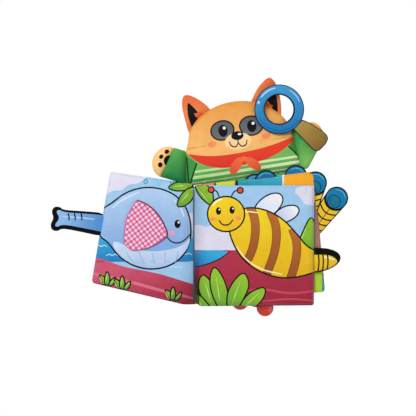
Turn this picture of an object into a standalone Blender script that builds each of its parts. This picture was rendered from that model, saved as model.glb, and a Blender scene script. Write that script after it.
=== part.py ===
"""Crinkle cloth book, lying open: four padded panels sewn to one spine.

Frame: metres, +Z up. The origin is under the middle of leaf one, on the back cover's flat underside.
The spine runs along Y at the left of the origin, and every panel turns about the rolled seam there.
"""
import bmesh
import bpy
from math import cos, pi, radians, sin
from mathutils import Matrix, Vector

for old in list(bpy.data.objects):
    bpy.data.objects.remove(old, do_unlink=True)

# Cloth, filling and clearances
gap = 0.0003
cloth_thickness = 0.0006
film_thickness = 0.00025
rim_height = 0.0015
corner_radius = 0.006
filling_share = 0.90
film_share = 0.86
tuck_share = 1.2
overrun = 0.004

# Panels: page size, thickness of each panel, and how each lies beside the spine
page_height = 0.160
page_width = 0.152
page_top = page_height / 2
leaf_height = 0.006
back_cover_height = 0.010
front_cover_height = 0.0075
leaf_margin = 0.008
cover_margin = 0.007
seam_radius = 0.0013
spine_length = 0.150
pleat_reach_shares = (0.32, 0.68)
pleat_rise_shares = (0.55, 0.24)
margin_start_share = 0.6
margin_middle_share = 0.8
curve_steps = 12
round_steps = 40

leaf_two_reach = 0.1533
leaf_two_rise = radians(6.65)
leaf_two_lean = radians(-4.76)
leaf_two_shift = 0.0009
leaf_two_drop = 0.0017

back_reach = 0.1424
back_rise = radians(8.5)
back_lean = radians(-9.9)
back_shift = 0.0029
back_drop = 0.0092
back_height = 0.1515

cover_height = 0.1494
cover_reach = 0.1043
cover_rise = radians(10.56)
cover_lean = radians(10.3)
cover_shift = -0.0006
cover_drop = -0.0005

# Heights of the stack, from the floor up
leaf_two_low = back_cover_height + gap
leaf_two_top = leaf_two_low + leaf_height
leaf_one_low = leaf_two_top + gap
hinge_x = -page_width / 2 - leaf_margin
hinge_z = leaf_two_top + gap / 2

# Head and shoulders, in their own frame on the back cover's top edge
figure_half_width = 0.0786
neck_half_width = 0.0734
figure_slide_share = 0.86
chin_height = 0.0413
head_height = 0.0602
figure_height = 0.0096
head_swell = 0.0022
swell_start = 0.030
figure_centre_height = 0.046

# Ears, sleeves and paws
ear_width = 0.0446
ear_height = 0.038
ear_low = 0.0015
ear_thickness = 0.005
left_ear_base = (-0.0510, 0.0801)
right_ear_base = (0.0391, 0.0834)
left_ear_turn = radians(138.8 - 90)
right_ear_turn = radians(51.2 - 90)
sleeve_width = 0.043
sleeve_length = 0.0265
sleeve_low = 0.0004
sleeve_hidden_share = 0.25
sleeve_thickness = 0.0092
cuff_width = 0.0430
paw_reach = 0.0198
paw_thickness = 0.0112
left_shoulder_rise = 0.0235
left_shoulder = (-0.0955, page_top + left_shoulder_rise)
left_sleeve_turn = radians(163.8)
left_cuff_skew = radians(-9.3)
right_shoulder_rise = 0.0437
right_shoulder = (0.0590, page_top + right_shoulder_rise)
right_sleeve_turn = radians(56.8)
right_cuff_skew = radians(-11.8)
right_sleeve_length = 0.0215
right_paw_reach = 0.0235

# Magnifying glass
ring_rise = 0.1026
ring_centre = (0.0295, page_top + ring_rise)
ring_outer = 0.0334
ring_hole = 0.0200
ring_thickness = 0.0040
handle_turn = radians(-40)
handle_end = 0.0770
handle_start_half = 0.0084
handle_end_half = 0.0117
handle_corner = 0.005
glass_seat = 0.0002
glass_low = figure_height + head_swell - glass_seat

# Tail tab, banded tab and fan tabs
tab_thickness = 0.0036
tail_length = 0.0640
tail_half_width = 0.0150
tail_flare = 0.0032
tail_notch = 0.0070
tail_waist_share = 0.45
tail_waist_half_share = 0.82
tail_neck_share = 0.80
tail_neck_half_share = 0.86
tail_lobe_half_share = 0.72
tail_round_share = 0.4
tail_root = (-0.2070, 0.0286)
tail_turn = radians(172.4)
tail_low = 0.0012
band_length = 0.0355
band_half_width = 0.0165
band_root_y = -0.0200
band_tip_shift = 0.0035
fan_corner = (leaf_two_reach - page_width / 2, page_top)
fan_centre_place = (-0.0291, -0.1022)
fan_radius = 0.0154
fan_tab_thickness = 0.0017
fan_foot_share = 3
fan_foot_half_share = 0.62
fan_end_places = ((-0.0798, 0.0007), (-0.0651, 0.0053), (-0.0251, 0.0120), (0.0003, 0.0007), (0.0297, -0.0180))

# Gingham flap
flap_thickness = 0.0012
flap_binding_height = 0.0016
flap_binding_share = 0.94
flap_width = 0.058
flap_height = 0.0635
flap_root = (-0.1745, 0.0290)
flap_turn = radians(-10.4)
flap_outline_shares = (
    (0.00, 0.40), (0.07, 0.46), (0.20, 0.47), (0.42, 0.36), (0.66, 0.18), (0.86, -0.06),
    (0.98, -0.30), (0.97, -0.37), (0.76, -0.51), (0.52, -0.58), (0.22, -0.57), (0.06, -0.46), (0.00, -0.30),
)

# Teether and its strap
bulb_radius = 0.0114
bulb_spacing = 0.0343
teether_low = gap
teether_thickness = 0.0094
teether_turn = radians(-14.4)
teether_rise = 0.0005
teether_middle = (-0.0055, teether_rise - page_top)
bridge_top = 0.0098
bridge_bottom = 0.0023
bridge_thickness = 0.0046
slot_width = 0.0120
slot_height = 0.0044
slot_rise = 0.0040
strap_width = 0.0080
strap_thickness = 0.0010
strap_play = 0.0005
strap_tail = 0.014

book = bpy.data.collections.new("crinkle_cloth_book")
cutters = bpy.data.collections.new("cutters")
bpy.context.scene.collection.children.link(book)
bpy.context.scene.collection.children.link(cutters)


def material(name, colour, roughness):
    """A Principled material with one colour and one roughness."""
    made = bpy.data.materials.new(name)
    made.use_nodes = True
    shader = made.node_tree.nodes["Principled BSDF"]
    shader.inputs["Base Color"].default_value = (*colour, 1)
    shader.inputs["Roughness"].default_value = roughness
    return made


def pivot(name, x, y, z):
    """An empty on a joint's axis, which carries the pieces that turn there."""
    empty = bpy.data.objects.new(name, None)
    empty.location = (x, y, z)
    book.objects.link(empty)
    return empty


def add(name, bm, colour, roughness=0.8, parent=None, into=None):
    """Make an object of a mesh given in the book's own frame, carried by its pivot."""
    bmesh.ops.recalc_face_normals(bm, faces=bm.faces)
    mesh = bpy.data.meshes.new(name)
    bm.to_mesh(mesh)
    bm.free()
    mesh.shade_smooth()
    mesh.set_sharp_from_angle(angle=radians(40))
    obj = bpy.data.objects.new(name, mesh)
    (into or book).objects.link(obj)
    if colour is not None:
        mesh.materials.append(material(name, colour, roughness))
    if parent is not None:
        obj.parent = parent
        obj.matrix_parent_inverse = Matrix.Translation(-parent.location)
    return obj


def solidify(obj):
    """Give an open sheet the cloth's thickness, on its inner side."""
    shell = obj.modifiers.new("cloth", "SOLIDIFY")
    shell.thickness = cloth_thickness
    shell.offset = -1
    return obj


def cut(obj, cutter):
    """Cut a piece with a solid that is left out of the book."""
    cutter.hide_render = True
    cutter.display_type = "WIRE"
    boolean = obj.modifiers.new("cut", "BOOLEAN")
    boolean.operation = "DIFFERENCE"
    boolean.solver = "EXACT"
    boolean.object = cutter
    return obj


def placed(points, origin, turn):
    """Points of a local outline, turned and moved to their place."""
    c, s = cos(turn), sin(turn)
    return [(origin[0] + x * c - y * s, origin[1] + x * s + y * c) for x, y in points]


def rounded(corners, radius, steps=3):
    """A polygon whose corners are arcs of one radius."""
    outline = []
    count = len(corners)
    for i in range(count):
        here = Vector(corners[i])
        before = (Vector(corners[i - 1]) - here).normalized()
        after = (Vector(corners[(i + 1) % count]) - here).normalized()
        half = before.angle(after) / 2
        centre = here + (before + after).normalized() * (radius / sin(half))
        start = here + before * (radius * cos(half) / sin(half)) - centre
        end = here + after * (radius * cos(half) / sin(half)) - centre
        for k in range(steps + 1):
            spoke = start.slerp(end, k / steps).normalized() * radius
            outline.append(tuple(centre + spoke))
    return outline


def smooth(points, steps=3):
    """A closed smooth curve through a few points."""
    outline = []
    count = len(points)
    for i in range(count):
        p0, p1, p2, p3 = (Vector(points[(i + k) % count]) for k in (-1, 0, 1, 2))
        for k in range(steps):
            t = k / steps
            bend = p1 * 2 + (p2 - p0) * t + (p0 * 2 - p1 * 5 + p2 * 4 - p3) * t ** 2
            outline.append(tuple((bend + (p1 * 3 - p0 - p2 * 3 + p3) * t ** 3) / 2))
    return outline


def middle(outline):
    """The middle of an outline's box."""
    xs = [x for x, y in outline]
    ys = [y for x, y in outline]
    return (min(xs) + max(xs)) / 2, (min(ys) + max(ys)) / 2


def scaled(outline, centre, share):
    """An outline drawn towards its centre."""
    return [(centre[0] + (x - centre[0]) * share, centre[1] + (y - centre[1]) * share) for x, y in outline]


def puff(share):
    """How far a stuffed panel has risen at a share of the way out to its edge."""
    return max(0, 1 - share ** 6) ** 0.5


ring_shares = (1, 0.985, 0.94, 0.86, 0.72, 0.45)


def pad(outline, low, surface, outer_share=1, closed=True, centre=None):
    """A crowned solid or sheet: its cap is extruded and drawn in ring by ring, then poked."""
    centre = centre or middle(outline)
    bm = bmesh.new()
    base = bm.faces.new([bm.verts.new((x, y, low)) for x, y in scaled(outline, centre, outer_share)])
    cap = base
    for share in (share * outer_share for share in ring_shares):
        made = bmesh.ops.extrude_face_region(bm, geom=[cap])
        if cap is not base:
            bmesh.ops.delete(bm, geom=[cap], context="FACES_ONLY")
        cap = [item for item in made["geom"] if isinstance(item, bmesh.types.BMFace)][0]
        for vert, (x, y) in zip(cap.verts, scaled(outline, centre, share)):
            vert.co = (x, y, surface(x, y, share))
    made = bmesh.ops.poke(bm, faces=[cap])
    for vert in made["verts"]:
        vert.co = (*centre, surface(*centre, 0))
    if not closed:
        bmesh.ops.delete(bm, geom=list(base.verts), context="VERTS")
    return bm


def prism(outline, low, high):
    """A flat piece of one outline."""
    bm = bmesh.new()
    face = bm.faces.new([bm.verts.new((x, y, low)) for x, y in outline])
    made = bmesh.ops.extrude_face_region(bm, geom=[face])
    bmesh.ops.translate(
        bm, vec=(0, 0, high - low), verts=[item for item in made["geom"] if isinstance(item, bmesh.types.BMVert)])
    return bm


def strip(profile, half_length):
    """An open sheet: a profile in X and Z drawn along the spine."""
    bm = bmesh.new()
    verts = [bm.verts.new((x, -half_length, z)) for x, z in profile]
    edges = [bm.edges.new(pair) for pair in zip(verts, verts[1:])]
    made = bmesh.ops.extrude_edge_only(bm, edges=edges)
    bmesh.ops.translate(
        bm, vec=(0, 2 * half_length, 0), verts=[item for item in made["geom"] if isinstance(item, bmesh.types.BMVert)])
    return bm


def panel_outline(side, margin, shift, drop, reach, rise, height, lean):
    """A page seen from above: its inner edge follows the spine and its outer edge leans."""
    inner_x = hinge_x + side * margin
    top = page_height / 2 + shift
    outer_top = (inner_x + side * reach * cos(rise), top + reach * sin(rise))
    outer_bottom = (outer_top[0] - height * sin(lean), outer_top[1] - height * cos(lean))
    return rounded([(inner_x, top), outer_top, outer_bottom, (inner_x, drop - page_height / 2)], corner_radius)


def padded_panel(name, outline, low, height, upper, lower, colours, parent, surface=None, centre=None):
    """Two cloths sewn round a sheet of wadding and a sheet of crinkle film."""
    floor = low + cloth_thickness + gap
    rise = height - rim_height - 2 * gap

    def top(x, y, share):
        return low + rim_height + 2 * gap + rise * puff(share)

    top = surface or top

    def film_top(x, y, share):
        return top(x, y, share) - cloth_thickness - gap

    def filling_top(x, y, share):
        return film_top(x, y, share) - film_thickness - gap

    add(name + "_" + lower, prism(outline, low, low + cloth_thickness), colours[1], parent=parent)
    sheet = pad(outline, low, top, closed=False, centre=centre)
    solidify(add(name + "_" + upper, sheet, colours[0], parent=parent))
    filling = pad(outline, floor, filling_top, filling_share, centre=centre)
    add(name + "_wadding", filling, (0.93, 0.93, 0.90), 0.95, parent)
    film = pad(outline, floor, film_top, film_share, closed=False, centre=centre)
    film_sheet = add(name + "_crinkle_film", film, (0.85, 0.88, 0.90), 0.25, parent)
    solidify(film_sheet).modifiers["cloth"].thickness = film_thickness


def tuck(obj, name, outline, high, parent=None, centre=None):
    """Trim a tab along the edge of the panel that it is sewn into."""
    centre = centre or middle(outline)
    reach = min(max(abs(x - centre[0]) for x, y in outline), max(abs(y - centre[1]) for x, y in outline))
    block = prism(scaled(outline, centre, 1 + gap * tuck_share / reach), -overrun, high + overrun)
    return cut(obj, add(name, block, None, parent=parent, into=cutters))


def panels():
    """The four padded panels and their margins at the spine."""
    cover = panel_outline(-1, cover_margin, cover_shift, cover_drop, cover_reach, cover_rise, cover_height, cover_lean)
    two = panel_outline(
        1, leaf_margin, leaf_two_shift, leaf_two_drop, leaf_two_reach, leaf_two_rise, page_height, leaf_two_lean)
    one = panel_outline(1, leaf_margin, 0, 0, page_width, 0, page_height, 0)
    back = panel_outline(1, leaf_margin, back_shift, back_drop, back_reach, back_rise, back_height, back_lean)
    padded_panel("front_cover", cover, 0, front_cover_height, "inner_cloth", "outer_cloth",
                 ((0.66, 0.77, 0.90), (0.10, 0.55, 0.68)), cover_pivot)
    padded_panel("leaf_two", two, leaf_two_low, leaf_height, "front_cloth", "back_cloth",
                 ((0.97, 0.68, 0.12), (0.62, 0.78, 0.20)), leaf_two_pivot)
    padded_panel("leaf_one", one, leaf_one_low, leaf_height, "front_cloth", "back_cloth",
                 ((0.62, 0.78, 0.92), (0.72, 0.20, 0.28)), leaf_one_pivot)
    padded_panel("back_cover", back, 0, back_cover_height, "inner_cloth", "outer_cloth",
                 ((0.10, 0.60, 0.68), (0.55, 0.78, 0.40)), None)
    return cover, two, one, back


def spine():
    """The rolled seam, the strip of cloth on each side of it, and the leaves' sewn margins."""
    bm = bmesh.new()
    bmesh.ops.create_cone(bm, cap_ends=True, segments=curve_steps, radius1=seam_radius, radius2=seam_radius, depth=spine_length)
    bmesh.ops.rotate(bm, cent=(0, 0, 0), matrix=Matrix.Rotation(pi / 2, 3, "X"), verts=bm.verts)
    bmesh.ops.translate(bm, vec=(hinge_x, 0, hinge_z), verts=bm.verts)
    add("spine_seam", bm, (0.20, 0.35, 0.50))
    start = seam_radius + gap + cloth_thickness
    for name, side, margin, parent in (
            ("spine_cloth_back", 1, leaf_margin, None), ("spine_cloth_front", -1, cover_margin, cover_pivot)):
        foot = margin - gap - cloth_thickness
        low = rim_height
        profile = [
            (hinge_x + side * cloth_thickness, hinge_z - start),
            *[(hinge_x + side * foot * reach, low + (hinge_z - low) * rise)
              for reach, rise in zip(pleat_reach_shares, pleat_rise_shares)],
            (hinge_x + side * foot, low),
        ]
        sheet = solidify(add(name, strip(profile, spine_length / 2), (0.45, 0.62, 0.80), parent=parent))
        sheet.modifiers["cloth"].offset = 0
    for name, level, parent in (("leaf_one_margin", 1, leaf_one_pivot), ("leaf_two_margin", -1, leaf_two_pivot)):
        outer = leaf_margin - gap
        inner = seam_radius + 2 * gap
        height = level * (leaf_height / 2)
        profile = [
            (hinge_x + inner, hinge_z + level * seam_radius * margin_start_share),
            (hinge_x + (inner + outer) / 2, hinge_z + height * margin_middle_share),
            (hinge_x + outer, hinge_z + height),
        ]
        sheet = solidify(add(name, strip(profile, spine_length / 2), (0.40, 0.60, 0.82), parent=parent))
        sheet.modifiers["cloth"].offset = 0


def figure(back):
    """Head and shoulders on the back cover's top edge, with ears, sleeves and paws sewn in."""
    top_left, top_right = back[3], back[4]
    turn = back_rise
    along = Vector(top_right) - Vector(top_left)
    normal = Vector((-sin(turn), cos(turn)))
    base = (Vector(top_left) + Vector(top_right)) / 2 + normal * gap
    slide = (along.length / 2 - figure_half_width) * figure_slide_share
    base = base + Vector((cos(turn), sin(turn))) * slide
    dome = [
        (neck_half_width * cos(pi * k / 14), chin_height + head_height * sin(pi * k / 14)) for k in range(15)]
    local = rounded([(figure_half_width, 0)] + [dome[0], dome[-1]] + [(-figure_half_width, 0)], corner_radius / 2)
    steps = 4
    local = local[:steps] + dome + local[-steps:]
    outline = placed(local, base, turn)
    centre = placed([(0, figure_centre_height)], base, turn)[0]

    def top(x, y, share):
        height = (x - base[0]) * normal[0] + (y - base[1]) * normal[1]
        swell = min(1, max(0, height / swell_start - 1))
        swell = swell * swell * (3 - 2 * swell)
        full = figure_height + head_swell * swell - rim_height - 2 * gap
        return rim_height + 2 * gap + full * puff(share)

    padded_panel("figure", outline, 0, figure_height, "front_cloth", "back_cloth",
                 ((0.93, 0.68, 0.35), (0.93, 0.60, 0.25)), None, top, centre)

    ear_shares = (
        (-0.50, -0.20), (-0.50, 0.00), (-0.36, 0.36), (-0.14, 0.68), (0.14, 0.92), (0.33, 1.00),
        (0.46, 0.93), (0.52, 0.60), (0.53, 0.25), (0.50, 0.00), (0.45, -0.20))
    for name, spot, lean, side in (
            ("ear_left", left_ear_base, left_ear_turn, 1), ("ear_right", right_ear_base, right_ear_turn, -1)):
        points = [(side * x * ear_width, y * ear_height) for x, y in ear_shares]
        ear = placed(placed(points, spot, lean), base, turn)
        ear = ear[::side]
        ear_top = ear_low + ear_thickness

        def surface(x, y, share):
            return ear_low + rim_height + (ear_top - ear_low - rim_height) * puff(share)

        obj = add(name, pad(ear, ear_low, surface), (0.88, 0.40, 0.20))
        tuck(obj, name + "_trim", outline, figure_height, centre=centre)
    arms(outline, centre)
    return outline


def arms(outline, centre):
    """A sleeve and a paw at each shoulder."""
    for side, shoulder, turn, skew, length, reach in (
            ("left", left_shoulder, left_sleeve_turn, left_cuff_skew, sleeve_length, paw_reach),
            ("right", right_shoulder, right_sleeve_turn, right_cuff_skew, right_sleeve_length, right_paw_reach)):
        cuff = placed([(length, 0)], shoulder, turn)[0]
        heading = turn + skew
        half = cuff_width / 2
        cuff_ends = placed([(-gap, -half), (-gap, half)], cuff, heading)
        hidden = sleeve_length * sleeve_hidden_share
        roots = placed([(-hidden, sleeve_width / 2), (-hidden, -sleeve_width / 2)], shoulder, turn)
        corners = [roots[1], cuff_ends[0], cuff_ends[1], roots[0]]
        sleeve = rounded(corners, gap * 4)

        def sleeve_top(x, y, share):
            return sleeve_low + rim_height + (sleeve_thickness - sleeve_low - rim_height) * puff(share)

        obj = add("sleeve_" + side, pad(sleeve, sleeve_low, sleeve_top), (0.30, 0.66, 0.30))
        tuck(obj, "sleeve_" + side + "_trim", outline, figure_height, centre=centre)
        bulge = [(gap / 2 + reach * sin(pi * k / curve_steps), -half * cos(pi * k / curve_steps)) for k in range(curve_steps + 1)]
        paw = placed(bulge, cuff, heading)

        def paw_top(x, y, share):
            return sleeve_low + rim_height + (paw_thickness - sleeve_low - rim_height) * puff(share)

        obj = add("paw_" + side, pad(paw, sleeve_low, paw_top), (0.95, 0.68, 0.35))


def magnifier():
    """A stuffed cloth ring and its handle, sewn down at the handle's end."""
    half_width = (ring_outer - ring_hole) / 2
    middle_radius = (ring_outer + ring_hole) / 2
    height = ring_thickness / 2
    bm = bmesh.new()
    count = 10
    profile = []
    for k in range(count):
        angle = -2 * pi * k / count
        x = middle_radius + half_width * cos(angle)
        profile.append(bm.verts.new((x, 0, height * (1 if sin(angle) > 0 else -1) * abs(sin(angle)) ** 0.7)))
    for k in range(count):
        bm.edges.new((profile[k], profile[(k + 1) % count]))
    mesh = bpy.data.meshes.new("magnifier_ring")
    bm.to_mesh(mesh)
    bm.free()
    mesh.materials.append(material("magnifier_ring", (0.20, 0.55, 0.78), 0.8))
    ring = bpy.data.objects.new("magnifier_ring", mesh)
    book.objects.link(ring)
    ring.parent = magnifier_pivot
    ring.matrix_parent_inverse = Matrix.Translation(-magnifier_pivot.location)
    ring.location = (*ring_centre, glass_low + height)
    screw = ring.modifiers.new("turn", "SCREW")
    screw.steps = screw.render_steps = round_steps
    screw.use_merge_vertices = True
    screw.merge_threshold = 0.00001
    screw.use_smooth_shade = True

    start = ring_outer - overrun
    corners = [
        (start, -handle_start_half), (handle_end, -handle_end_half),
        (handle_end, handle_end_half), (start, handle_start_half)]
    handle = placed(rounded(corners, handle_corner), ring_centre, handle_turn)

    def surface(x, y, share):
        return glass_low + rim_height + (ring_thickness - rim_height) * puff(share)

    obj = add("magnifier_handle", pad(handle, glass_low, surface), (0.62, 0.52, 0.22), parent=magnifier_pivot)
    bm = bmesh.new()
    bmesh.ops.create_cone(
        bm, cap_ends=True, segments=round_steps, radius1=ring_outer + gap, radius2=ring_outer + gap,
        depth=ring_thickness + overrun * 2)
    bmesh.ops.translate(bm, vec=(*ring_centre, glass_low + height), verts=bm.verts)
    cut(obj, add("magnifier_trim", bm, None, parent=magnifier_pivot, into=cutters))


def tabs(cover, two, one):
    """The cloth tabs sewn into the pages' outer edges."""
    shoulder = tail_half_width
    waist, neck = tail_length * tail_waist_share, tail_length * tail_neck_share
    local = [
        (-tail_half_width, -shoulder), (waist, -shoulder * tail_waist_half_share),
        (neck, -shoulder * tail_neck_half_share), (tail_length - tail_flare, -shoulder - tail_flare),
        (tail_length, -shoulder * tail_lobe_half_share), (tail_length - tail_notch, 0),
        (tail_length, shoulder * tail_lobe_half_share), (tail_length - tail_flare, shoulder + tail_flare),
        (neck, shoulder * tail_neck_half_share), (waist, shoulder * tail_waist_half_share),
        (-tail_half_width, shoulder)]
    tail = placed(rounded(local, tail_flare * tail_round_share, 2), tail_root, tail_turn)

    def tail_top(x, y, share):
        return tail_low + rim_height + (tab_thickness - rim_height) * puff(share)

    obj = add("tail_tab", pad(tail, tail_low, tail_top), (0.30, 0.55, 0.80), parent=cover_pivot)
    tuck(obj, "tail_trim", cover, front_cover_height, parent=cover_pivot)

    edge = page_width / 2
    low = leaf_one_low + (leaf_height - tab_thickness) / 2
    tip = [
        (edge + band_length * sin(pi * k / curve_steps),
         band_root_y + band_tip_shift * sin(pi * k / curve_steps) - band_half_width * cos(pi * k / curve_steps)) for k in range(curve_steps + 1)]
    band = [(edge - corner_radius, tip[0][1])] + tip + [(edge - corner_radius, tip[-1][1])]

    def band_top(x, y, share):
        return low + rim_height + (tab_thickness - rim_height) * puff(share)

    obj = add("banded_tab", pad(band, low, band_top), (0.94, 0.82, 0.14), parent=leaf_one_pivot)
    tuck(obj, "banded_trim", one, leaf_one_low + leaf_height, parent=leaf_one_pivot)

    centre = Vector(fan_corner) + Vector(fan_centre_place)
    for number, place in enumerate(fan_end_places, 1):
        end = Vector(fan_corner) + Vector(place)
        layer = 1 - number % 2
        low = leaf_two_low + gap + layer * (fan_tab_thickness + gap)
        heading = end - centre
        away = heading.normalized()
        across = Vector((-away.y, away.x))
        foot = end - away * fan_radius * fan_foot_share
        arc = [
            end + across * fan_radius * cos(pi * k / 10) + away * fan_radius * sin(pi * k / 10)
            for k in range(11)]
        lobe = [foot + across * fan_radius * fan_foot_half_share] + arc + [foot - across * fan_radius * fan_foot_half_share]
        outline = [tuple(point) for point in lobe][::-1]

        def fan_top(x, y, share, low=low):
            return low + rim_height / 2 + (fan_tab_thickness - rim_height / 2) * puff(share)

        obj = add("fan_tab_%d" % number, pad(outline, low, fan_top), (0.05, 0.47, 0.66), parent=leaf_two_pivot)
        tuck(obj, "fan_trim_%d" % number, two, leaf_two_top, parent=leaf_two_pivot)


def flap():
    """The gingham flap, bound all round, which lifts from its inner edge on the left page."""
    points = smooth([(x * flap_width, y * flap_height) for x, y in flap_outline_shares], 2)
    outline = placed(points, flap_root, flap_turn)
    low = front_cover_height + gap
    inner = scaled(outline, middle(outline), flap_binding_share)
    share = flap_binding_share + 2 * gap / flap_width
    hole = prism(scaled(outline, middle(outline), share), low - overrun, low + overrun)
    add("gingham_flap", prism(inner, low, low + flap_thickness), (0.93, 0.55, 0.70), parent=flap_pivot)
    binding = add("flap_binding", prism(outline, low, low + flap_binding_height), (0.80, 0.10, 0.30), parent=flap_pivot)
    cut(binding, add("flap_hole", hole, None, parent=flap_pivot, into=cutters))


def teether():
    """Two round bulbs on a bridge, moulded in one piece, on a strap loop that passes through its slot."""
    up = Vector((-sin(teether_turn), cos(teether_turn), 0))
    turn = Matrix.Rotation(teether_turn, 4, "Z")
    centre_z = teether_low + teether_thickness / 2
    place = Matrix.Translation((*teether_middle, centre_z)) @ turn

    def shape(bm):
        bmesh.ops.transform(bm, matrix=place, verts=bm.verts)
        return bm

    bm = bmesh.new()
    bmesh.ops.create_cube(bm, size=1)
    size = (bulb_spacing, bridge_top + bridge_bottom, bridge_thickness)
    bmesh.ops.scale(bm, vec=size, verts=bm.verts)
    bmesh.ops.translate(bm, vec=(0, (bridge_top - bridge_bottom) / 2, 0), verts=bm.verts)
    bmesh.ops.bevel(
        bm, geom=bm.edges[:], offset=bridge_thickness / 4, segments=2, affect="EDGES", profile=0.5)
    body = add("teether", shape(bm), (0.90, 0.12, 0.08), 0.15, teether_pivot)
    for name, side in (("teether_bulb_left", -1), ("teether_bulb_right", 1)):
        bm = bmesh.new()
        bmesh.ops.create_uvsphere(bm, u_segments=24, v_segments=curve_steps, radius=bulb_radius)
        bmesh.ops.scale(bm, vec=(1, 1, teether_thickness / 2 / bulb_radius), verts=bm.verts)
        bmesh.ops.translate(bm, vec=(side * bulb_spacing / 2, 0, 0), verts=bm.verts)
        ball = add(name, shape(bm), None, parent=teether_pivot, into=cutters)
        ball.hide_render = True
        ball.display_type = "WIRE"
        union = body.modifiers.new("bulb", "BOOLEAN")
        union.operation = "UNION"
        union.object = ball
    bm = bmesh.new()
    bmesh.ops.create_cube(bm, size=1)
    bmesh.ops.scale(bm, vec=(slot_width, slot_height, teether_thickness + overrun), verts=bm.verts)
    bmesh.ops.translate(bm, vec=(0, slot_rise, 0), verts=bm.verts)
    cut(body, add("teether_slot", shape(bm), None, parent=teether_pivot, into=cutters))

    half_gap = bridge_thickness / 2 + strap_play
    far = slot_rise + strap_thickness / 2
    near = bridge_top + 3 * strap_play
    outer = [
        (slot_rise - strap_thickness / 2, -half_gap - strap_thickness), (near + strap_thickness, -half_gap - strap_thickness),
        (near + strap_thickness, half_gap + strap_thickness), (slot_rise - strap_thickness / 2, half_gap + strap_thickness)]
    inner = [(far, -half_gap), (near, -half_gap), (near, half_gap), (far, half_gap)]
    frame = place @ Matrix(((0, 0, 1, 0), (1, 0, 0, 0), (0, 1, 0, 0), (0, 0, 0, 1)))
    loops = []
    for points in (outer, inner):
        bm = prism(points, -strap_width / 2, strap_width / 2)
        loops.append(bm)
    bmesh.ops.transform(loops[0], matrix=frame, verts=loops[0].verts)
    strap = add("teether_strap", loops[0], (0.85, 0.25, 0.30))
    bm = loops[1]
    bmesh.ops.scale(bm, vec=(1, 1, 1 + overrun / strap_width), verts=bm.verts)
    bmesh.ops.transform(bm, matrix=frame, verts=bm.verts)
    cut(strap, add("strap_hole", bm, None, into=cutters))
    bm = bmesh.new()
    bmesh.ops.create_cube(bm, size=1)
    bmesh.ops.scale(bm, vec=(strap_width, strap_tail, strap_thickness * 2), verts=bm.verts)
    bmesh.ops.translate(bm, vec=(0, near + strap_tail / 2 + strap_thickness / 2, 0), verts=bm.verts)
    tail = add("strap_tail", shape(bm), None, into=cutters)
    tail.hide_render = True
    tail.display_type = "WIRE"
    union = strap.modifiers.new("tail", "BOOLEAN")
    union.operation = "UNION"
    union.object = tail
    tuck(strap, "strap_trim", back_outline, back_cover_height)


flap_turn_height = front_cover_height + gap + flap_binding_height / 2
handle_tip = placed([(handle_end, 0)], ring_centre, handle_turn)[0]
teether_up = (-sin(teether_turn) * slot_rise, cos(teether_turn) * slot_rise)
cover_pivot = pivot("front_cover_hinge", hinge_x, 0, hinge_z)
leaf_two_pivot = pivot("leaf_two_hinge", hinge_x, 0, hinge_z)
leaf_one_pivot = pivot("leaf_one_hinge", hinge_x, 0, hinge_z)
leaf_one_pivot.parent = leaf_two_pivot
leaf_one_pivot.matrix_parent_inverse = Matrix.Translation(-leaf_two_pivot.location)
flap_pivot = pivot("flap_hinge", *flap_root, flap_turn_height)
magnifier_pivot = pivot("magnifier_hinge", *handle_tip, glass_low)
teether_pivot = pivot(
    "teether_swivel", teether_middle[0] + teether_up[0], teether_middle[1] + teether_up[1], teether_low)

cover_outline, two_outline, one_outline, back_outline = panels()
spine()
figure(back_outline)
magnifier()
tabs(cover_outline, two_outline, one_outline)
flap()
teether()
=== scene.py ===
"""The crinkle cloth book's looks: printed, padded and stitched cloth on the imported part's frame.

Points of the prints lie on a layout grid, in steps right and down from the top left of the view.
"""

import bmesh
import bpy
import math
import numpy as np
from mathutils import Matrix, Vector, noise
from mathutils.bvhtree import BVHTree
from mathutils.geometry import convex_hull_2d, delaunay_2d_cdt


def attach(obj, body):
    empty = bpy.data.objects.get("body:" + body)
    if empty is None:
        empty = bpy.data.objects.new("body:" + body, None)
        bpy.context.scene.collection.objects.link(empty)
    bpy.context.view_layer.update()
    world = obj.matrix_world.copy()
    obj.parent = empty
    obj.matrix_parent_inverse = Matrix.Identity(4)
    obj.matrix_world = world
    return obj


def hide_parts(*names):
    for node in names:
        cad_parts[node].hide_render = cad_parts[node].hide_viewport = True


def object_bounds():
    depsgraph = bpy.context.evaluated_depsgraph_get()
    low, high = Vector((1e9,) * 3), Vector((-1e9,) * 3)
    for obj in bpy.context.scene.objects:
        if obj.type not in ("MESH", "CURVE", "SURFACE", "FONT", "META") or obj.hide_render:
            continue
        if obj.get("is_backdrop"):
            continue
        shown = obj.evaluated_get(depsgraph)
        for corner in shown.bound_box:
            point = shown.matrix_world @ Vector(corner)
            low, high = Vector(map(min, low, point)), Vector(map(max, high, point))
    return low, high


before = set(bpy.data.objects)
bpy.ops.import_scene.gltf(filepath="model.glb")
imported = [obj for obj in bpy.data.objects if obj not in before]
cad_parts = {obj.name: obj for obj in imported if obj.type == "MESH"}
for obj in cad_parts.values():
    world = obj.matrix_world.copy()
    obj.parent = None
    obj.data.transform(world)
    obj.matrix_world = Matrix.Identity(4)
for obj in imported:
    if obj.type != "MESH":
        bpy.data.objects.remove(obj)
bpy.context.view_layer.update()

GRID = 0.0013356  # metres in a step of the layout grid
VIEW = 416  # steps across the view
ZERO_X, ZERO_Y = 256.9, 245.4  # the frame's origin on the grid
LINE = 1.4 * GRID  # width of a printed outline, in metres
THIN = 0.0006  # width of an outline round small printed things
ROOM, KEY, SIDE = 0.46, 24.0, 5.0  # strength of the room's light, and watts of the two lamps
STEP = 0.0022  # size of the triangles that cloth is made of


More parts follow.
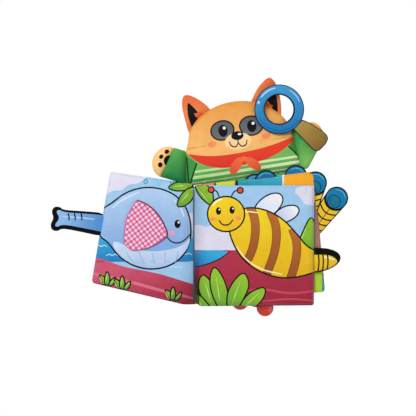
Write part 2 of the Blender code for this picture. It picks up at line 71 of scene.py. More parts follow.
# flat shapes
def at(points):
    """Layout points as metres in the book's frame."""
    p = np.asarray(points, float).reshape(-1, 2)
    return np.column_stack(((p[:, 0] - ZERO_X) * GRID, (ZERO_Y - p[:, 1]) * GRID))


def metres(points):
    """Millimetres as metres."""
    return np.asarray(points, float) / 1000.0


def soften(points, rounds=3, closed=True):
    """Cut the corners of a line again and again, so it becomes a curve."""
    p = np.asarray(points, float)
    for _ in range(rounds):
        q = np.roll(p, -1, axis=0) if closed else p[1:]
        a = p if closed else p[:-1]
        cut = np.empty((2 * len(a), 2))
        cut[0::2], cut[1::2] = 0.75 * a + 0.25 * q, 0.25 * a + 0.75 * q
        p = cut if closed else np.vstack((p[:1], cut, p[-1:]))
    return p


def blob(points, rounds=3):
    """A closed curve round layout points."""
    return soften(at(points), rounds)


def corners(points, radius, steps=6):
    """A polygon with rounded corners, in metres."""
    p = np.asarray(points, float)
    made = []
    for k in range(len(p)):
        a, b, c = p[k - 1], p[k], p[(k + 1) % len(p)]
        r = min(radius, 0.4 * np.linalg.norm(a - b), 0.4 * np.linalg.norm(c - b))
        s, e = b + (a - b) / np.linalg.norm(a - b) * r, b + (c - b) / np.linalg.norm(c - b) * r
        for t in np.linspace(0, 1, steps):
            made.append((1 - t) ** 2 * s + 2 * t * (1 - t) * b + t * t * e)
    return np.array(made)


def disc(cx, cy, rx, ry=None, turn=0.0, count=36):
    """An ellipse at a layout point."""
    t = np.linspace(0, 2 * math.pi, count, endpoint=False)
    x, y = rx * np.cos(t), (rx if ry is None else ry) * np.sin(t)
    c, s = math.cos(math.radians(turn)), math.sin(math.radians(turn))
    return at(np.column_stack((cx + c * x + s * y, cy - s * x + c * y)))


def hull(points):
    """The convex outline round points."""
    return points[convex_hull_2d([Vector(p) for p in points])]


def signed_area(p):
    """The polygon's area, negative if it runs clockwise."""
    q = np.roll(p, -1, axis=0)
    return 0.5 * np.sum(p[:, 0] * q[:, 1] - q[:, 0] * p[:, 1])


def grow(p, by):
    """The polygon with its edge moved outwards."""
    n = np.roll(p, -1, axis=0) - np.roll(p, 1, axis=0)
    n /= np.linalg.norm(n, axis=1)[:, None] + 1e-12
    side = 1.0 if signed_area(p) > 0 else -1.0
    return p + side * by * np.column_stack((n[:, 1], -n[:, 0]))


def ribbon(line, width, taper=True):
    """A stroke along a line of metres, as a closed polygon."""
    p = np.asarray(line, float)
    d = np.gradient(p, axis=0)
    d /= np.linalg.norm(d, axis=1)[:, None] + 1e-12
    n = np.column_stack((-d[:, 1], d[:, 0]))
    t = np.linspace(0, 1, len(p))
    w = 0.5 * width * (0.35 + 0.65 * np.sin(math.pi * t) ** 0.5 if taper else np.ones(len(p)))
    return np.vstack((p + n * w[:, None], (p - n * w[:, None])[::-1]))


def resample(p, step):
    """The closed polygon with its long edges divided."""
    made = []
    for a, b in zip(p, np.roll(p, -1, axis=0)):
        n = max(1, int(round(np.linalg.norm(b - a) / step)))
        made.extend(a + (b - a) * k / n for k in range(n))
    return np.array(made)


def inside(points, poly):
    """Which of the points lie in the polygon."""
    x, y = points[:, 0], points[:, 1]
    hit = np.zeros(len(points), bool)
    for (x1, y1), (x2, y2) in zip(poly, np.roll(poly, -1, axis=0)):
        if y1 != y2:
            hit ^= ((y1 > y) != (y2 > y)) & (x < (x2 - x1) * (y - y1) / (y2 - y1) + x1)
    return hit


def distance(points, poly):
    """Distance to the polygon's edge, and how far round it the nearest place is."""
    best, along, run = np.full(len(points), 1e9), np.zeros(len(points)), 0.0
    for a, b in zip(poly, np.roll(poly, -1, axis=0)):
        e = b - a
        size = np.linalg.norm(e)
        if size < 1e-9:
            continue
        t = np.clip((points - a) @ e / size**2, 0, 1)
        d = np.linalg.norm(points - a - t[:, None] * e, axis=1)
        near = d < best
        best[near], along[near] = d[near], run + t[near] * size
        run += size
    return best, along


def field(points, scale, seed):
    """Smooth noise at flat points."""
    return np.array([noise.noise(Vector((p[0] * scale, p[1] * scale, seed))) for p in points])


# printed colours
BLACK = (0.012, 0.012, 0.025)
WHITE = (0.95, 0.95, 0.96)
SKY = (0.62, 0.78, 0.92)
CLOUD = (0.87, 0.86, 0.93)
WATER, DEEP = (0.22, 0.66, 0.86), (0.10, 0.45, 0.72)
RIPPLE, SPRAY = (0.75, 0.92, 0.98), (0.45, 0.78, 0.94)
ROSE, CRIMSON = (0.80, 0.33, 0.44), (0.70, 0.20, 0.29)
PALE_BLUE, MID_BLUE = (0.68, 0.80, 0.93), (0.46, 0.64, 0.86)
LIME, LEAF, GREEN = (0.62, 0.80, 0.20), (0.34, 0.62, 0.20), (0.24, 0.60, 0.26)
YELLOW, ORANGE, BROWN = (0.95, 0.82, 0.14), (0.97, 0.66, 0.14), (0.72, 0.42, 0.18)
HEAD, PAW, EAR = (0.94, 0.68, 0.34), (0.97, 0.77, 0.50), (0.88, 0.40, 0.20)
SLATE, NAVY = (0.34, 0.35, 0.37), (0.05, 0.09, 0.20)
RED, KNOT, PINK = (0.90, 0.24, 0.15), (0.93, 0.42, 0.25), (0.92, 0.55, 0.68)
TEAL, FAN, MAUVE = (0.10, 0.58, 0.67), (0.04, 0.42, 0.62), (0.62, 0.42, 0.42)
COVER, COVER_DOT = (0.16, 0.56, 0.66), (0.90, 0.95, 0.96)
CHEEK, STRIPE, CHECK = (0.95, 0.56, 0.36), (0.22, 0.56, 0.27), (0.94, 0.64, 0.77)


def linear(c):
    """A colour as written, in the shader's linear values."""
    c = np.asarray(c, float)
    return np.where(c <= 0.04045, c / 12.92, ((c + 0.055) / 1.055) ** 2.4)


def fill(poly, colour, other=None, start=(0, 0), end=(0, 1), within=None):
    """One printed shape. With another colour it fades to it between two layout points."""
    return {"poly": poly, "colour": linear(colour), "other": None if other is None else linear(other),
            "start": at(start)[0], "end": at(end)[0], "within": within}


def shade(points, by, start, end):
    """A painted shadow: it darkens what it covers to this share at the start, and not at all at the end."""
    made = fill(at(points), (1, 1, 1), None, start, end)
    made["by"] = by
    return made


def draw(points, width, colour, *fade, rounds=3, taper=True):
    """A printed line through layout points."""
    return fill(ribbon(soften(at(points), rounds, closed=False), width, taper), colour, *fade)


def inked(poly, colour, other=None, start=(0, 0), end=(0, 1), width=LINE):
    """A printed shape with a black outline."""
    return [fill(grow(poly, width / 2), BLACK), fill(grow(poly, -width / 2), colour, other, start, end)]


def leaves(*outlines):
    """Leaves, each from its stem to its tip and back, with a pale streak down its middle."""
    made = []
    for points in outlines:
        p = at(points)
        back = np.array([[ZERO_X, ZERO_Y]]) + np.array([p.min(0), p.max(0)]) / GRID * [[1, -1]]
        tip, stem = at([points[len(points) // 2]])[0], at([points[0]])[0]
        vein = [stem + (tip - stem) * t for t in (0.15, 0.45, 0.75)]
        made += inked(soften(p, 2), LIME, LEAF, back[1],
                      back[0]) + [fill(ribbon(vein, 0.0012), (0.80, 0.90, 0.50))]
    return made


def flowers(spots, size, stem, green):
    """Round flowers with a yellow middle, on stems."""
    made = []
    for x, y, colour in spots:
        made.append(draw([(x, y + 4), (x + 1, y + 12), (x - 1, y + stem)], 0.0018, green))
        for k in range(6):
            a = k * 2 * math.pi / 6
            made += inked(disc(x + 1.5 * size * math.cos(a), y + 1.5 * size * math.sin(a), size), colour,
                          width=THIN)
        made += inked(disc(x, y, size * 0.9), YELLOW, width=THIN)
    return made


def dots(x0, x1, y0, y1, pitch=11, size=1.9):
    """Rows of dots, each row half a step along from the last."""
    return [fill(disc(x + (row % 2) * pitch / 2, y, size, count=16), COVER_DOT)
            for row, y in enumerate(np.arange(y0, y1, pitch * 0.87)) for x in np.arange(x0, x1, pitch)]


def cloud(x, y, size):
    """A small cloud."""
    edge = [(-2, 0), (-1.4, -0.8), (-0.5, -1.2), (0.5, -0.9), (1.5, -0.9), (2.1, 0), (1, 0.5), (-1, 0.5)]
    return fill(blob([(x + a * size, y + b * size) for a, b in edge]), CLOUD)


# materials
def node(tree, kind, **values):
    """A shader node, with values for its sockets or settings."""
    made = tree.nodes.new(kind)
    for key, value in values.items():
        if key in made.inputs:
            made.inputs[key].default_value = value
        else:
            setattr(made, key, value)
    return made


def cloth(name, pitch, weave, rough, sheen, mottle, fuzz=0.25):
    """Woven cloth: two crossed threads, a little fluff, uneven dye and a soft sheen at the edges."""
    material = bpy.data.materials.new(name)
    material.use_nodes = True
    tree = material.node_tree
    shader = tree.nodes["Principled BSDF"]

    def join(source, output, target, socket):
        tree.links.new(source.outputs[output], target.inputs[socket])

    def ranged(source, output, low, high, start=0.0, end=1.0):
        made = node(tree, "ShaderNodeMapRange")
        for key, value in (("From Min", start), ("From Max", end), ("To Min", low), ("To Max", high)):
            made.inputs[key].default_value = value
        join(source, output, made, "Value")
        return made

    place = node(tree, "ShaderNodeTexCoord")
    print_colour = node(tree, "ShaderNodeVertexColor", layer_name="print")
    patch = node(tree, "ShaderNodeTexNoise", Scale=70.0, Detail=5.0, Roughness=0.6)
    join(place, "Object", patch, "Vector")
    cross = node(tree, "ShaderNodeMath", operation="MAXIMUM")
    for k, axis in enumerate("XY"):
        thread = node(tree, "ShaderNodeTexWave", wave_type="BANDS", bands_direction=axis, wave_profile="SIN",
                      Scale=0.314 / pitch, Distortion=0.6, Detail=2.0)
        thread.inputs["Detail Scale"].default_value = 2.0
        join(place, "Object", thread, "Vector")
        join(thread, "Fac", cross, k)
    tone = node(tree, "ShaderNodeMath", operation="MULTIPLY")
    join(ranged(patch, "Fac", 1 - mottle, 1 + mottle * 0.6, 0.3, 0.7), 0, tone, 0)
    join(ranged(cross, 0, 0.93, 1.02), 0, tone, 1)
    dyed = node(tree, "ShaderNodeVectorMath", operation="SCALE")
    join(print_colour, "Color", dyed, 0)
    join(tone, 0, dyed, "Scale")
    join(dyed, 0, shader, "Base Color")
    fluff = node(tree, "ShaderNodeTexNoise", Scale=2600.0, Detail=3.0, Roughness=0.7)
    join(place, "Object", fluff, "Vector")
    height = node(tree, "ShaderNodeMath", operation="MULTIPLY_ADD")
    height.inputs[1].default_value = fuzz
    join(fluff, "Fac", height, 0)
    join(cross, 0, height, 2)
    bump = node(tree, "ShaderNodeBump", Strength=weave, Distance=0.00012)
    join(height, 0, bump, "Height")
    join(bump, "Normal", shader, "Normal")
    join(ranged(patch, "Fac", rough - 0.08, rough + 0.08), 0, shader, "Roughness")
    shader.inputs["Sheen Weight"].default_value = sheen
    shader.inputs["Sheen Roughness"].default_value = 0.5
    shader.inputs["Specular IOR Level"].default_value = 0.14
    return material


SATIN = cloth("printed_satin", 0.00035, 0.35, 0.5, 0.01, 0.06)
COTTON = cloth("plain_cotton", 0.00055, 0.7, 0.85, 0.03, 0.05)
FELT = cloth("brushed_felt", 0.0004, 0.45, 0.9, 0.05, 0.08, fuzz=1.0)
THREAD = cloth("thread", 0.0002, 0.8, 0.6, 0.05, 0.03)
GINGHAM = cloth("gingham_cotton", 0.0006, 0.8, 0.85, 0.05, 0.04)


# cloth pieces
def colours_of(art, spots, points, base):
    """The colour of each triangle's corners: that of the topmost shape over the triangle's middle."""
    made = np.tile(linear(base), (len(spots), 3, 1))
    for shape in art:
        poly = shape["poly"]
        near = np.where(((spots >= poly.min(0)) & (spots <= poly.max(0))).all(1))[0]
        hit = near[inside(spots[near], poly)]
        if shape["within"] is not None:
            hit = hit[inside(spots[hit], shape["within"])]
        run = shape["end"] - shape["start"]
        t = np.clip((points[hit] - shape["start"]) @ run / (run @ run), 0, 1)[..., None]
        if "by" in shape:
            made[hit] *= shape["by"] + (1 - shape["by"]) * t
        elif shape["other"] is None:
            made[hit] = shape["colour"]
        else:
            made[hit] = shape["colour"] * (1 - t) + shape["other"] * t
    return made


def flat_mesh(outline, holes, art, step):
    """Triangles that follow the outline and every printed edge."""
    points, edges = [], []
    for ring in [outline, *holes, *[shape["poly"] for shape in art]]:
        start = len(points)
        points.extend(ring)
        edges.extend((start + k, start + (k + 1) % len(ring)) for k in range(len(ring)))
    low, high = outline.min(0), outline.max(0)
    rows = np.arange(low[1], high[1], step * 0.866)
    net = np.array([(x + (k % 2) * step / 2, y) for k,
                    y in enumerate(rows) for x in np.arange(low[0], high[0], step)])
    net = net[inside(net, outline)]
    for ring in [outline, *holes]:
        net = net[distance(net, ring)[0] > 0.45 * step]
    points.extend(net)
    v, _, f, *_ = delaunay_2d_cdt([Vector(p) for p in points], edges, [], 0, 1e-7)
    v = np.array([(p.x, p.y) for p in v])
    f = np.array([t for t in f if len(t) == 3])
    spots = v[f].mean(1)
    keep = inside(spots, outline)
    for ring in holes:
        keep &= ~inside(spots, ring)
    return v, f[keep], spots[keep]


def inflated(outline, seed, cell=0.005, pressure=4.0):
    """A cloth simulation of two sheets sewn round their edge and filled, over the flat pattern.

    It gives the upper one's height as a share of its greatest.
    """
    edge = resample(outline, cell)
    v, f, _ = flat_mesh(edge, [], [], cell)
    used, f = np.unique(f, return_inverse=True)
    v, f = v[used], f.reshape(-1, 3)
    away = distance(v, edge)[0]
    sewn = away < 1e-6
    other = np.where(sewn, np.arange(len(v)), len(v) + np.cumsum(~sewn) - 1)
    lift = 0.0008 * np.clip(away / cell, 0, 1) * (1 + 0.3 * field(v, 90, seed))
    top, low = np.column_stack((v, lift)), np.column_stack((v, -lift))[~sewn]
    mesh = bpy.data.meshes.new("filling")
    mesh.from_pydata(np.vstack((top, low)).tolist(), [], np.vstack((f, other[f][:, ::-1])).tolist())
    trial = bpy.data.objects.new("filling", mesh)
    bpy.context.scene.collection.objects.link(trial)
    sewing = trial.modifiers.new("cloth", "CLOTH")
    sewing.collision_settings.use_collision = False
    c = sewing.settings
    c.quality, c.mass, c.air_damping = 6, 0.15, 2.0
    c.tension_stiffness, c.compression_stiffness, c.shear_stiffness, c.bending_stiffness = 20, 20, 10, 0.15
    c.use_pressure, c.uniform_pressure_force = True, pressure
    c.effector_weights.gravity = 0
    for k in range(1, 21):
        bpy.context.scene.frame_set(k)
    shape = trial.evaluated_get(bpy.context.evaluated_depsgraph_get()).data
    z = np.array([p.co.z for p in shape.vertices])
    bpy.data.objects.remove(trial)
    bpy.context.scene.frame_set(1)
    tree = BVHTree.FromPolygons([(*p, 0.0) for p in v], f.tolist())
    return tree, v, f, z[:len(v)] / z.max()


def sampled(filling, points):
    """The simulated height's share at flat points."""
    tree, v, f, shares = filling
    made = np.zeros(len(points))
    for k, p in enumerate(points):
        hit = tree.find_nearest(Vector((p[0], p[1], 0)))
        t = f[hit[2]]
        a, b, c = v[t]
        m = np.array([[b[0] - a[0], c[0] - a[0]], [b[1] - a[1], c[1] - a[1]]])
        r = np.linalg.solve(m, np.array(hit[0][:2]) - a)
        made[k] = abs(np.array((1 - r.sum(), r[0], r[1])) @ shares[t])
    return np.clip(made, 0, 1)


def relief(v, low, high, rims, swell, rim, pucker, seed, round_share, crumple, filling):
    """Heights of a stuffed piece's faces: round at the seam, gently uneven, gathered along the stitching."""
    away, along = distance(v, rims[0])
    for ring in rims[1:]:
        a, s = distance(v, ring)
        along = np.where(a < away, s, along)
        away = np.minimum(a, away)
    puff = (1 - (1 - np.clip(away / swell, 0, 1)) ** 2) ** round_share
    wave, fine = field(v, 22, seed), field(v, 75, seed + 9)
    fold = np.array([noise.noise(Vector((a * 150, seed * 3.1, 5.0))) for a in along])
    bent = [Vector((p[0] * 26 + p[1] * 9, p[1] * 17 - p[0] * 6, seed + 40)) for p in v]
    crease = np.array([1 - abs(noise.noise(p)) for p in bent]) ** 6
    thick = high - low
    seam = rim * thick + low
    top = seam + (high - seam) * puff * (0.86 + 0.26 * wave)
    top += thick * puff * (0.05 * fine + crumple * (crease - 0.4))
    gather = pucker * np.exp(-away / 0.006) * np.clip(away / 0.0015, 0, 1) * fold * 2
    top = np.minimum(top + gather, high + 0.0004)
    if filling is not None:
        near = np.clip(away / 0.0008, 0, 1)
        top = top * 0.45 + 0.55 * (seam + (high - seam) * sampled(filling, v) ** 0.42 * near)
    base = seam - (seam - low) * puff * (0.92 + 0.1 * wave)
    return top, np.maximum(base + gather * 0.3, low)


def dress(name, mesh, tones, cover, body, stands_for=()):
    """Make a mesh a piece of the scene: its printed colours, its material, and the body that it rides on."""
    layer = mesh.color_attributes.new("print", "FLOAT_COLOR", "CORNER")
    rgba = np.ones((len(mesh.loops), 4), np.float32)
    rgba[:, :3] = tones
    layer.data.foreach_set("color", rgba.ravel())
    mesh.materials.append(cover)
    mesh.shade_smooth()
    obj = bpy.data.objects.new(name, mesh)
    bpy.context.scene.collection.objects.link(obj)
    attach(obj, body)
    if stands_for:
        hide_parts(*stands_for)
    return obj


def build(name, sheets, cover, body, stands_for):
    """One piece of several sheets of triangles, each with its printed colours."""
    verts = np.vstack([v for v, _, _ in sheets])
    firsts = np.cumsum([0] + [len(v) for v, _, _ in sheets])
    faces = np.vstack([f + first for (_, f, _), first in zip(sheets, firsts)])
    used, faces = np.unique(faces, return_inverse=True)
    mesh = bpy.data.meshes.new(name)
    mesh.from_pydata(verts[used].tolist(), [], faces.reshape(-1, 3).tolist())
    return dress(name, mesh, np.vstack([tone for _, _, tone in sheets]).reshape(-1, 3), cover, body,
                 stands_for)


def pad(name, outline, low, high, art, base, body, nodes, slot, back=None, back_art=(), holes=(), swell=0.010,
        rim=0.35,
        pucker=0.0004, step=STEP, warp=None, seed=1.0, cover=SATIN, padding=0.5, round_share=0.5,
        crumple=0.10,
        simulate=False):
    """A stuffed piece: a printed face and a back, sewn together round their edge."""
    edge = resample(outline, step)
    filling = inflated(outline, seed) if simulate else None
    sheets = []
    for face, shapes, ground in ((0, list(art), base), (1, list(back_art), back or base)):
        v, f, spots = flat_mesh(edge, list(holes), shapes, step)
        heights = relief(v, low, high, [edge, *holes], swell, rim, pucker, seed, round_share, crumple,
                         filling)[face]
        if warp is not None:
            heights = warp(v, heights, face)
        tone = colours_of(shapes, spots, v[f], ground)
        if face:
            f, tone = f[:, ::-1], tone[:, ::-1]
        sheets.append((np.column_stack((v, heights)), f, tone))
    obj = build(name, sheets, cover, body, nodes)
    return obj


def copied(source, body, colour, cover, rough=0.0, ends=None):
    """A CAD piece's own shape as cloth or rubber: finer, slightly uneven, drawn in to two ends along Y."""
    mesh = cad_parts[source].data.copy()
    bm = bmesh.new()
    bm.from_mesh(mesh)
    bmesh.ops.remove_doubles(bm, verts=bm.verts, dist=1e-6)
    bmesh.ops.subdivide_edges(bm, edges=bm.edges, cuts=1, use_grid_fill=True)
    bmesh.ops.recalc_face_normals(bm, faces=bm.faces)
    bm.normal_update()
    if ends:
        reach = min(x.co.y for x in bm.verts), max(x.co.y for x in bm.verts)
        for x in bm.verts:
            x.co.y = np.interp(x.co.y, reach, ends)
    for x, by in [(x, x.normal * rough * noise.noise(x.co * 160)) for x in bm.verts]:
        x.co += by
    bm.to_mesh(mesh)
    bm.free()
    for old in list(mesh.color_attributes):
        mesh.color_attributes.remove(old)
    mesh.materials.clear()
    return dress(source + "_piece", mesh, linear(colour), cover, body, [source])


def stitches(name, host, outline, body, colour, skip, length=0.0022, space=0.0014, width=0.00026,
             lift=0.0001):
    """Thread stitches on a face just inside its edge, with none between two places across the book."""
    bpy.context.view_layer.update()
    line = resample(grow(outline, -0.0022), 0.002)
    run = np.vstack((line, line[:1]))
    far = np.concatenate(([0], np.cumsum(np.linalg.norm(np.diff(run, axis=0), axis=1))))
    surface = host.evaluated_get(bpy.context.evaluated_depsgraph_get())
    verts, faces = [], []
    for s in np.arange(0, far[-1] - length, length + space):
        if skip[0] < np.interp(s, far, run[:, 0]) < skip[1]:
            continue
        ends = [np.array([np.interp(x, far, run[:, 0]), np.interp(x, far, run[:, 1])]) for x in (s,
                                                                                                 s + length)]
        spine = []
        for t in (0.0, 0.25, 0.5, 0.75, 1.0):
            p = ends[0] * (1 - t) + ends[1] * t
            hit = surface.ray_cast(Vector((p[0], p[1], 0.2)), Vector((0, 0, -1)))
            if not hit[0]:
                break
            spine.append(Vector((p[0], p[1], hit[1].z + lift - (0.0004 if t in (0.0, 1.0) else 0.0))))
        if len(spine) < 5:
            continue
        flow = (spine[-1] - spine[0]).normalized()
        side = flow.cross(Vector((0, 0, 1))).normalized()
        up = side.cross(flow)
        start = len(verts)
        for t, p in zip((0.3, 0.9, 1.0, 0.9, 0.3), spine):
            for k in range(6):
                a = k * math.pi / 3
                verts.append(p + (side * math.cos(a) + up * math.sin(a)) * width * t)
        for r in range(4):
            for k in range(6):
                a, b = start + r * 6 + k, start + r * 6 + (k + 1) % 6
                faces.append((a, a + 6, b + 6, b))
    mesh = bpy.data.meshes.new(name)
    mesh.from_pydata([tuple(x) for x in verts], [], faces)
    dress(name, mesh, linear(colour), THREAD, body)


LAYERS = {  # the under and upper face of each stuffed piece, in metres above the ground
    "front_cover": (0.0, 0.0078), "back_cover": (0.0, 0.0100), "leaf_two": (0.0103, 0.0163),
    "leaf_one": (0.0166, 0.0226), "head": (0.0, 0.0118), "ear": (0.0012, 0.0068), "sleeve": (0.0004, 0.0104),
    "paw": (0.0004, 0.0112), "magnifier": (0.0116, 0.0160), "tail": (0.0012, 0.0052),
    "band": (0.0176, 0.0218)}

# left page: the front cover
left_outline = corners(at([(109.7, 171.2), (194.4, 184.2), (194.3, 240), (194.6, 268), (196.8, 294),
                           (197.8, 304),
                           (184, 305), (91.2, 283)]), 0.005)
whale = blob([(98, 211), (112, 203), (124, 193), (142, 187), (160, 188), (176, 195), (187, 208), (191.5, 226),
              (190, 244), (182, 258), (168, 267), (150, 270), (132, 266), (117, 255), (108, 242), (98, 236)])
belly = blob([(190.6, 236), (184, 245), (170, 250), (150, 252), (130, 248), (114, 240), (112, 246),
              (120, 257),
              (133, 265), (150, 269), (168, 266), (181, 257), (189, 246)])
flap_edge = blob([(136.2, 201), (137.8, 201), (146, 204.2), (154.4, 210.8), (161.4, 220.4), (165.4, 229),
                  (167.2, 234.4), (166, 237), (158, 242.8), (150, 247.2), (141, 249.6), (133.4, 250.6),
                  (131.4, 250),
                  (125.4, 245.6), (123.8, 241.6), (124.4, 230), (126, 219), (130.8, 209.4)], 2)
left_art = [
    fill(blob([(92, 165), (148, 168), (147, 177), (138, 184), (128, 184), (122, 191), (112, 190), (104, 197),
               (92, 196)]), CLOUD),
    fill(blob([(196, 214), (190, 212), (184, 218), (176, 216), (170, 223), (174, 232), (198, 232)]), CLOUD),
    fill(blob([(80, 238), (98, 235), (114, 239), (130, 236), (148, 240), (166, 236), (182, 240), (200, 236),
               (203, 262), (160, 262), (120, 262), (80, 262)], 2), WATER, DEEP, (140, 236), (140, 266)),
    fill(blob([(80, 262), (96, 257), (110, 262), (124, 267), (140, 270), (160, 274), (176, 279), (192, 284),
               (206, 287), (206, 320), (80, 320)], 2), ROSE, CRIMSON, (130, 262), (150, 304)),
    draw([(84, 272), (120, 279), (158, 290), (200, 300)], 0.004, (0.86, 0.44, 0.52)),
    draw([(84, 281), (130, 292), (186, 303)], 0.003, CRIMSON),
]
for x, y in ((101, 247), (112, 256), (176, 268), (186, 255)):
    left_art.append(draw([(x - 6, y), (x - 3, y - 2.2), (x, y), (x + 3, y - 2.2), (x + 6, y)], 0.0011,
                         RIPPLE))
left_art += inked(whale, PALE_BLUE, MID_BLUE, (140, 190), (140, 262), LINE * 1.1)
left_art.append(fill(belly, (0.82, 0.88, 0.96), (0.66, 0.77, 0.90), (140, 240), (140, 268)))
for k in range(5):
    left_art.append(draw([(126 + 13 * k, 252.4 - 0.7 * abs(k - 2)), (129 + 12 * k, 258), (135 + 10 * k, 264)],
                         0.0008,
                         MID_BLUE))
left_art += [
    draw([(190.4, 234), (182, 243), (172, 243), (166, 236)], LINE, BLACK),
    draw([(112, 208), (124, 198), (140, 192)], 0.0030, (0.78, 0.87, 0.97)),
    draw([(174, 200), (181, 208), (184, 217)], 0.0022, (0.80, 0.89, 0.98)),
    fill(disc(177.5, 224, 3.1, 4.2), BLACK), fill(disc(178.6, 222.4, 1.1), WHITE),
    fill(disc(171.5, 233, 3.4, 2.2), (0.90, 0.62, 0.74)),
    draw([(158, 187), (157, 180), (152, 176), (147, 178)], 0.0016, SPRAY),
    draw([(159, 187), (160.5, 179), (165, 175.6), (170, 178)], 0.0016, SPRAY),
]
left_art += inked(flap_edge + (0.0007, 0.0004), MID_BLUE, (0.34, 0.54, 0.80), (140, 204), (140, 250),
                  LINE * 0.9)
for x, y in ((145.5, 181.5), (172, 181.5), (158.8, 173.5)):
    left_art += inked(disc(x, y, 1.8, 2.4), SPRAY, width=THIN)
left_art += leaves([(195, 184), (188, 181), (178, 181), (166, 187.5), (176, 191.5), (188, 190)],
                   [(195, 186), (186, 189), (179, 197), (176, 207.5), (186, 206), (194, 198)])
for x, y in ((106, 283), (121, 287), (172, 298)):
    left_art += leaves([(x - 3, y + 3), (x - 5, y - 3), (x - 8, y - 9), (x - 1, y - 6), (x + 1, y + 1)],
                       [(x - 1, y + 3), (x - 2, y - 5), (x + 1, y - 13), (x + 4, y - 5), (x + 3, y + 2)],
                       [(x + 2, y + 3), (x + 4, y - 2), (x + 10, y - 7), (x + 9, y - 1), (x + 6, y + 3)])
# Painted shade: the left page darker towards the fold at the spine, and darker still low down by the fold.
left_art += [shade([(182, 170), (200, 170), (200, 310), (182, 310)], 0.72, (195, 240), (182, 240)),
             shade([(170, 262), (200, 262), (200, 310), (170, 310)], 0.55, (198, 300), (186, 276))]


def left_fold(v, heights, face):
    """The left page climbs to the spine's seam."""
    start = -0.101
    edge = np.interp(v[:, 1], (-0.078, 0.080), (-0.0835, -0.0845))
    t = np.clip((v[:, 0] - start) / (edge - start), 0, 1) ** 2.2
    return heights * (1 - t) + (0.0138 if face else 0.0150) * t


front = pad("front_cover_pad", left_outline, *LAYERS["front_cover"], left_art, SKY, "front_cover",
            ["front_cover_inner_cloth", "front_cover_outer_cloth", "front_cover_wadding",
             "front_cover_crinkle_film"],
            "page_sky", TEAL, dots(88, 200, 166, 310), warp=left_fold, simulate=True, crumple=0.2, seed=2.0,
            swell=0.012, pucker=0.0006)

# right page: leaf one
right_outline = corners(at([(193.8, 185.8), (199.9, 185.6), (313.8, 185.5), (313.6, 305.1), (200.2, 306),
                            (197.2, 303.4), (194.2, 262)]), 0.004)
bee = blob([(232, 214), (246, 207), (264, 209), (282, 218), (296, 233), (306, 246), (316, 251), (326, 253),
            (326, 271),
            (314, 272), (298, 277), (278, 278), (258, 271), (242, 259), (232, 242), (228, 226)])
right_art = [
    fill(blob([(322, 186), (296, 186), (294, 193), (300, 197), (304, 205), (313, 205), (324, 210)]), CLOUD),
    fill(blob([(190, 226), (200, 224), (206, 228), (212, 224), (220, 229), (228, 226), (236, 236), (238, 254),
               (190, 254)]), CLOUD),
    fill(at([(188, 250), (240, 250), (326, 250), (326, 320), (188, 320)]), CRIMSON, (0.62, 0.15, 0.24),
         (250, 250),
         (250, 306)),
    fill(blob([(188, 250), (232, 250), (222, 258), (208, 264), (196, 268), (188, 268)], 2), WATER, DEEP,
         (210, 250),
         (196, 268)),
    draw([(192, 267.6), (206, 264.6), (220, 259), (230, 251)], LINE * 0.8, BLACK),
    draw([(238, 292), (262, 288), (290, 294), (318, 290)], 0.0030, (0.78, 0.28, 0.36)),
    draw([(262, 301), (290, 298), (318, 301)], 0.0024, (0.78, 0.28, 0.36)),
]
right_art += leaves([(286, 262), (280, 250), (282, 236), (290, 224), (296, 238), (297, 252), (294, 262)],
                    [(292, 262), (296, 246), (303, 230), (311, 214), (317, 230), (317, 250), (306, 262)],
                    [(194, 184), (198, 194), (204, 201), (212.5, 207), (214, 196), (210, 187), (200, 182)])
right_art += inked(disc(286, 214, 13.5, 7.5, 24), (0.80, 0.84, 0.95), WHITE, (280, 214), (296, 206))
right_art += inked(disc(268, 206, 17, 9.5, 38), (0.84, 0.88, 0.97), WHITE, (262, 212), (280, 196))
right_art += inked(bee, YELLOW, (0.90, 0.70, 0.10), (270, 214), (264, 276), LINE * 1.1)
for band in ([(250, 206), (256, 222), (254, 246), (246, 263)],
             [(270, 211), (277, 228), (275, 252), (266, 275)],
             [(292, 229), (297, 242), (296, 260), (290, 279)]):
    stripe = ribbon(soften(at(band), closed=False), 0.0105, taper=False)
    right_art += [fill(grow(stripe, 0.0005), BLACK, within=grow(bee, -LINE / 2)),
                  fill(stripe, BROWN, (0.60, 0.32, 0.14), band[0], band[-1], grow(bee, -LINE / 2))]
right_art += [draw([(236, 246), (246, 260), (262, 270), (282, 274)], 0.0020, (0.99, 0.93, 0.66)),
              draw([(236, 216), (247, 211), (258, 213)], 0.0016, (1.0, 0.96, 0.75))]
right_art += inked(disc(226, 214, 18.5, 17.5), YELLOW, (0.93, 0.74, 0.12), (222, 200), (232, 232), LINE * 1.1)
right_art.append(draw([(213, 206), (216, 201), (222, 199)], 0.0022, (1.0, 0.97, 0.78)))
for x, y in ((218.5, 211), (232, 210)):
    right_art += [fill(disc(x, y, 2.6, 3.8), BLACK), fill(disc(x + 0.9, y - 1.4, 0.9), WHITE)]
right_art += [
    fill(disc(212.5, 219, 3.0, 2.0), (0.96, 0.60, 0.36)), fill(disc(238, 218, 3.0, 2.0), (0.96, 0.60, 0.36)),
    draw([(219, 220), (222, 225), (229, 225), (233, 219.5)], LINE, BLACK),
    draw([(219, 197), (217, 191), (212, 189.5)], LINE, BLACK),
    draw([(231, 197), (234, 191), (239, 190)], LINE, BLACK),
]
for x, y in ((211.2, 189.8), (240.2, 190.4)):
    right_art += inked(disc(x, y, 2.9), (0.90, 0.28, 0.18))
right_art += inked(blob([(199.8, 288), (208, 292), (222, 296), (240, 294), (256, 299), (262, 316),
                         (199.8, 316)], 2),
                   LIME, (0.50, 0.72, 0.16), (220, 288), (220, 310))
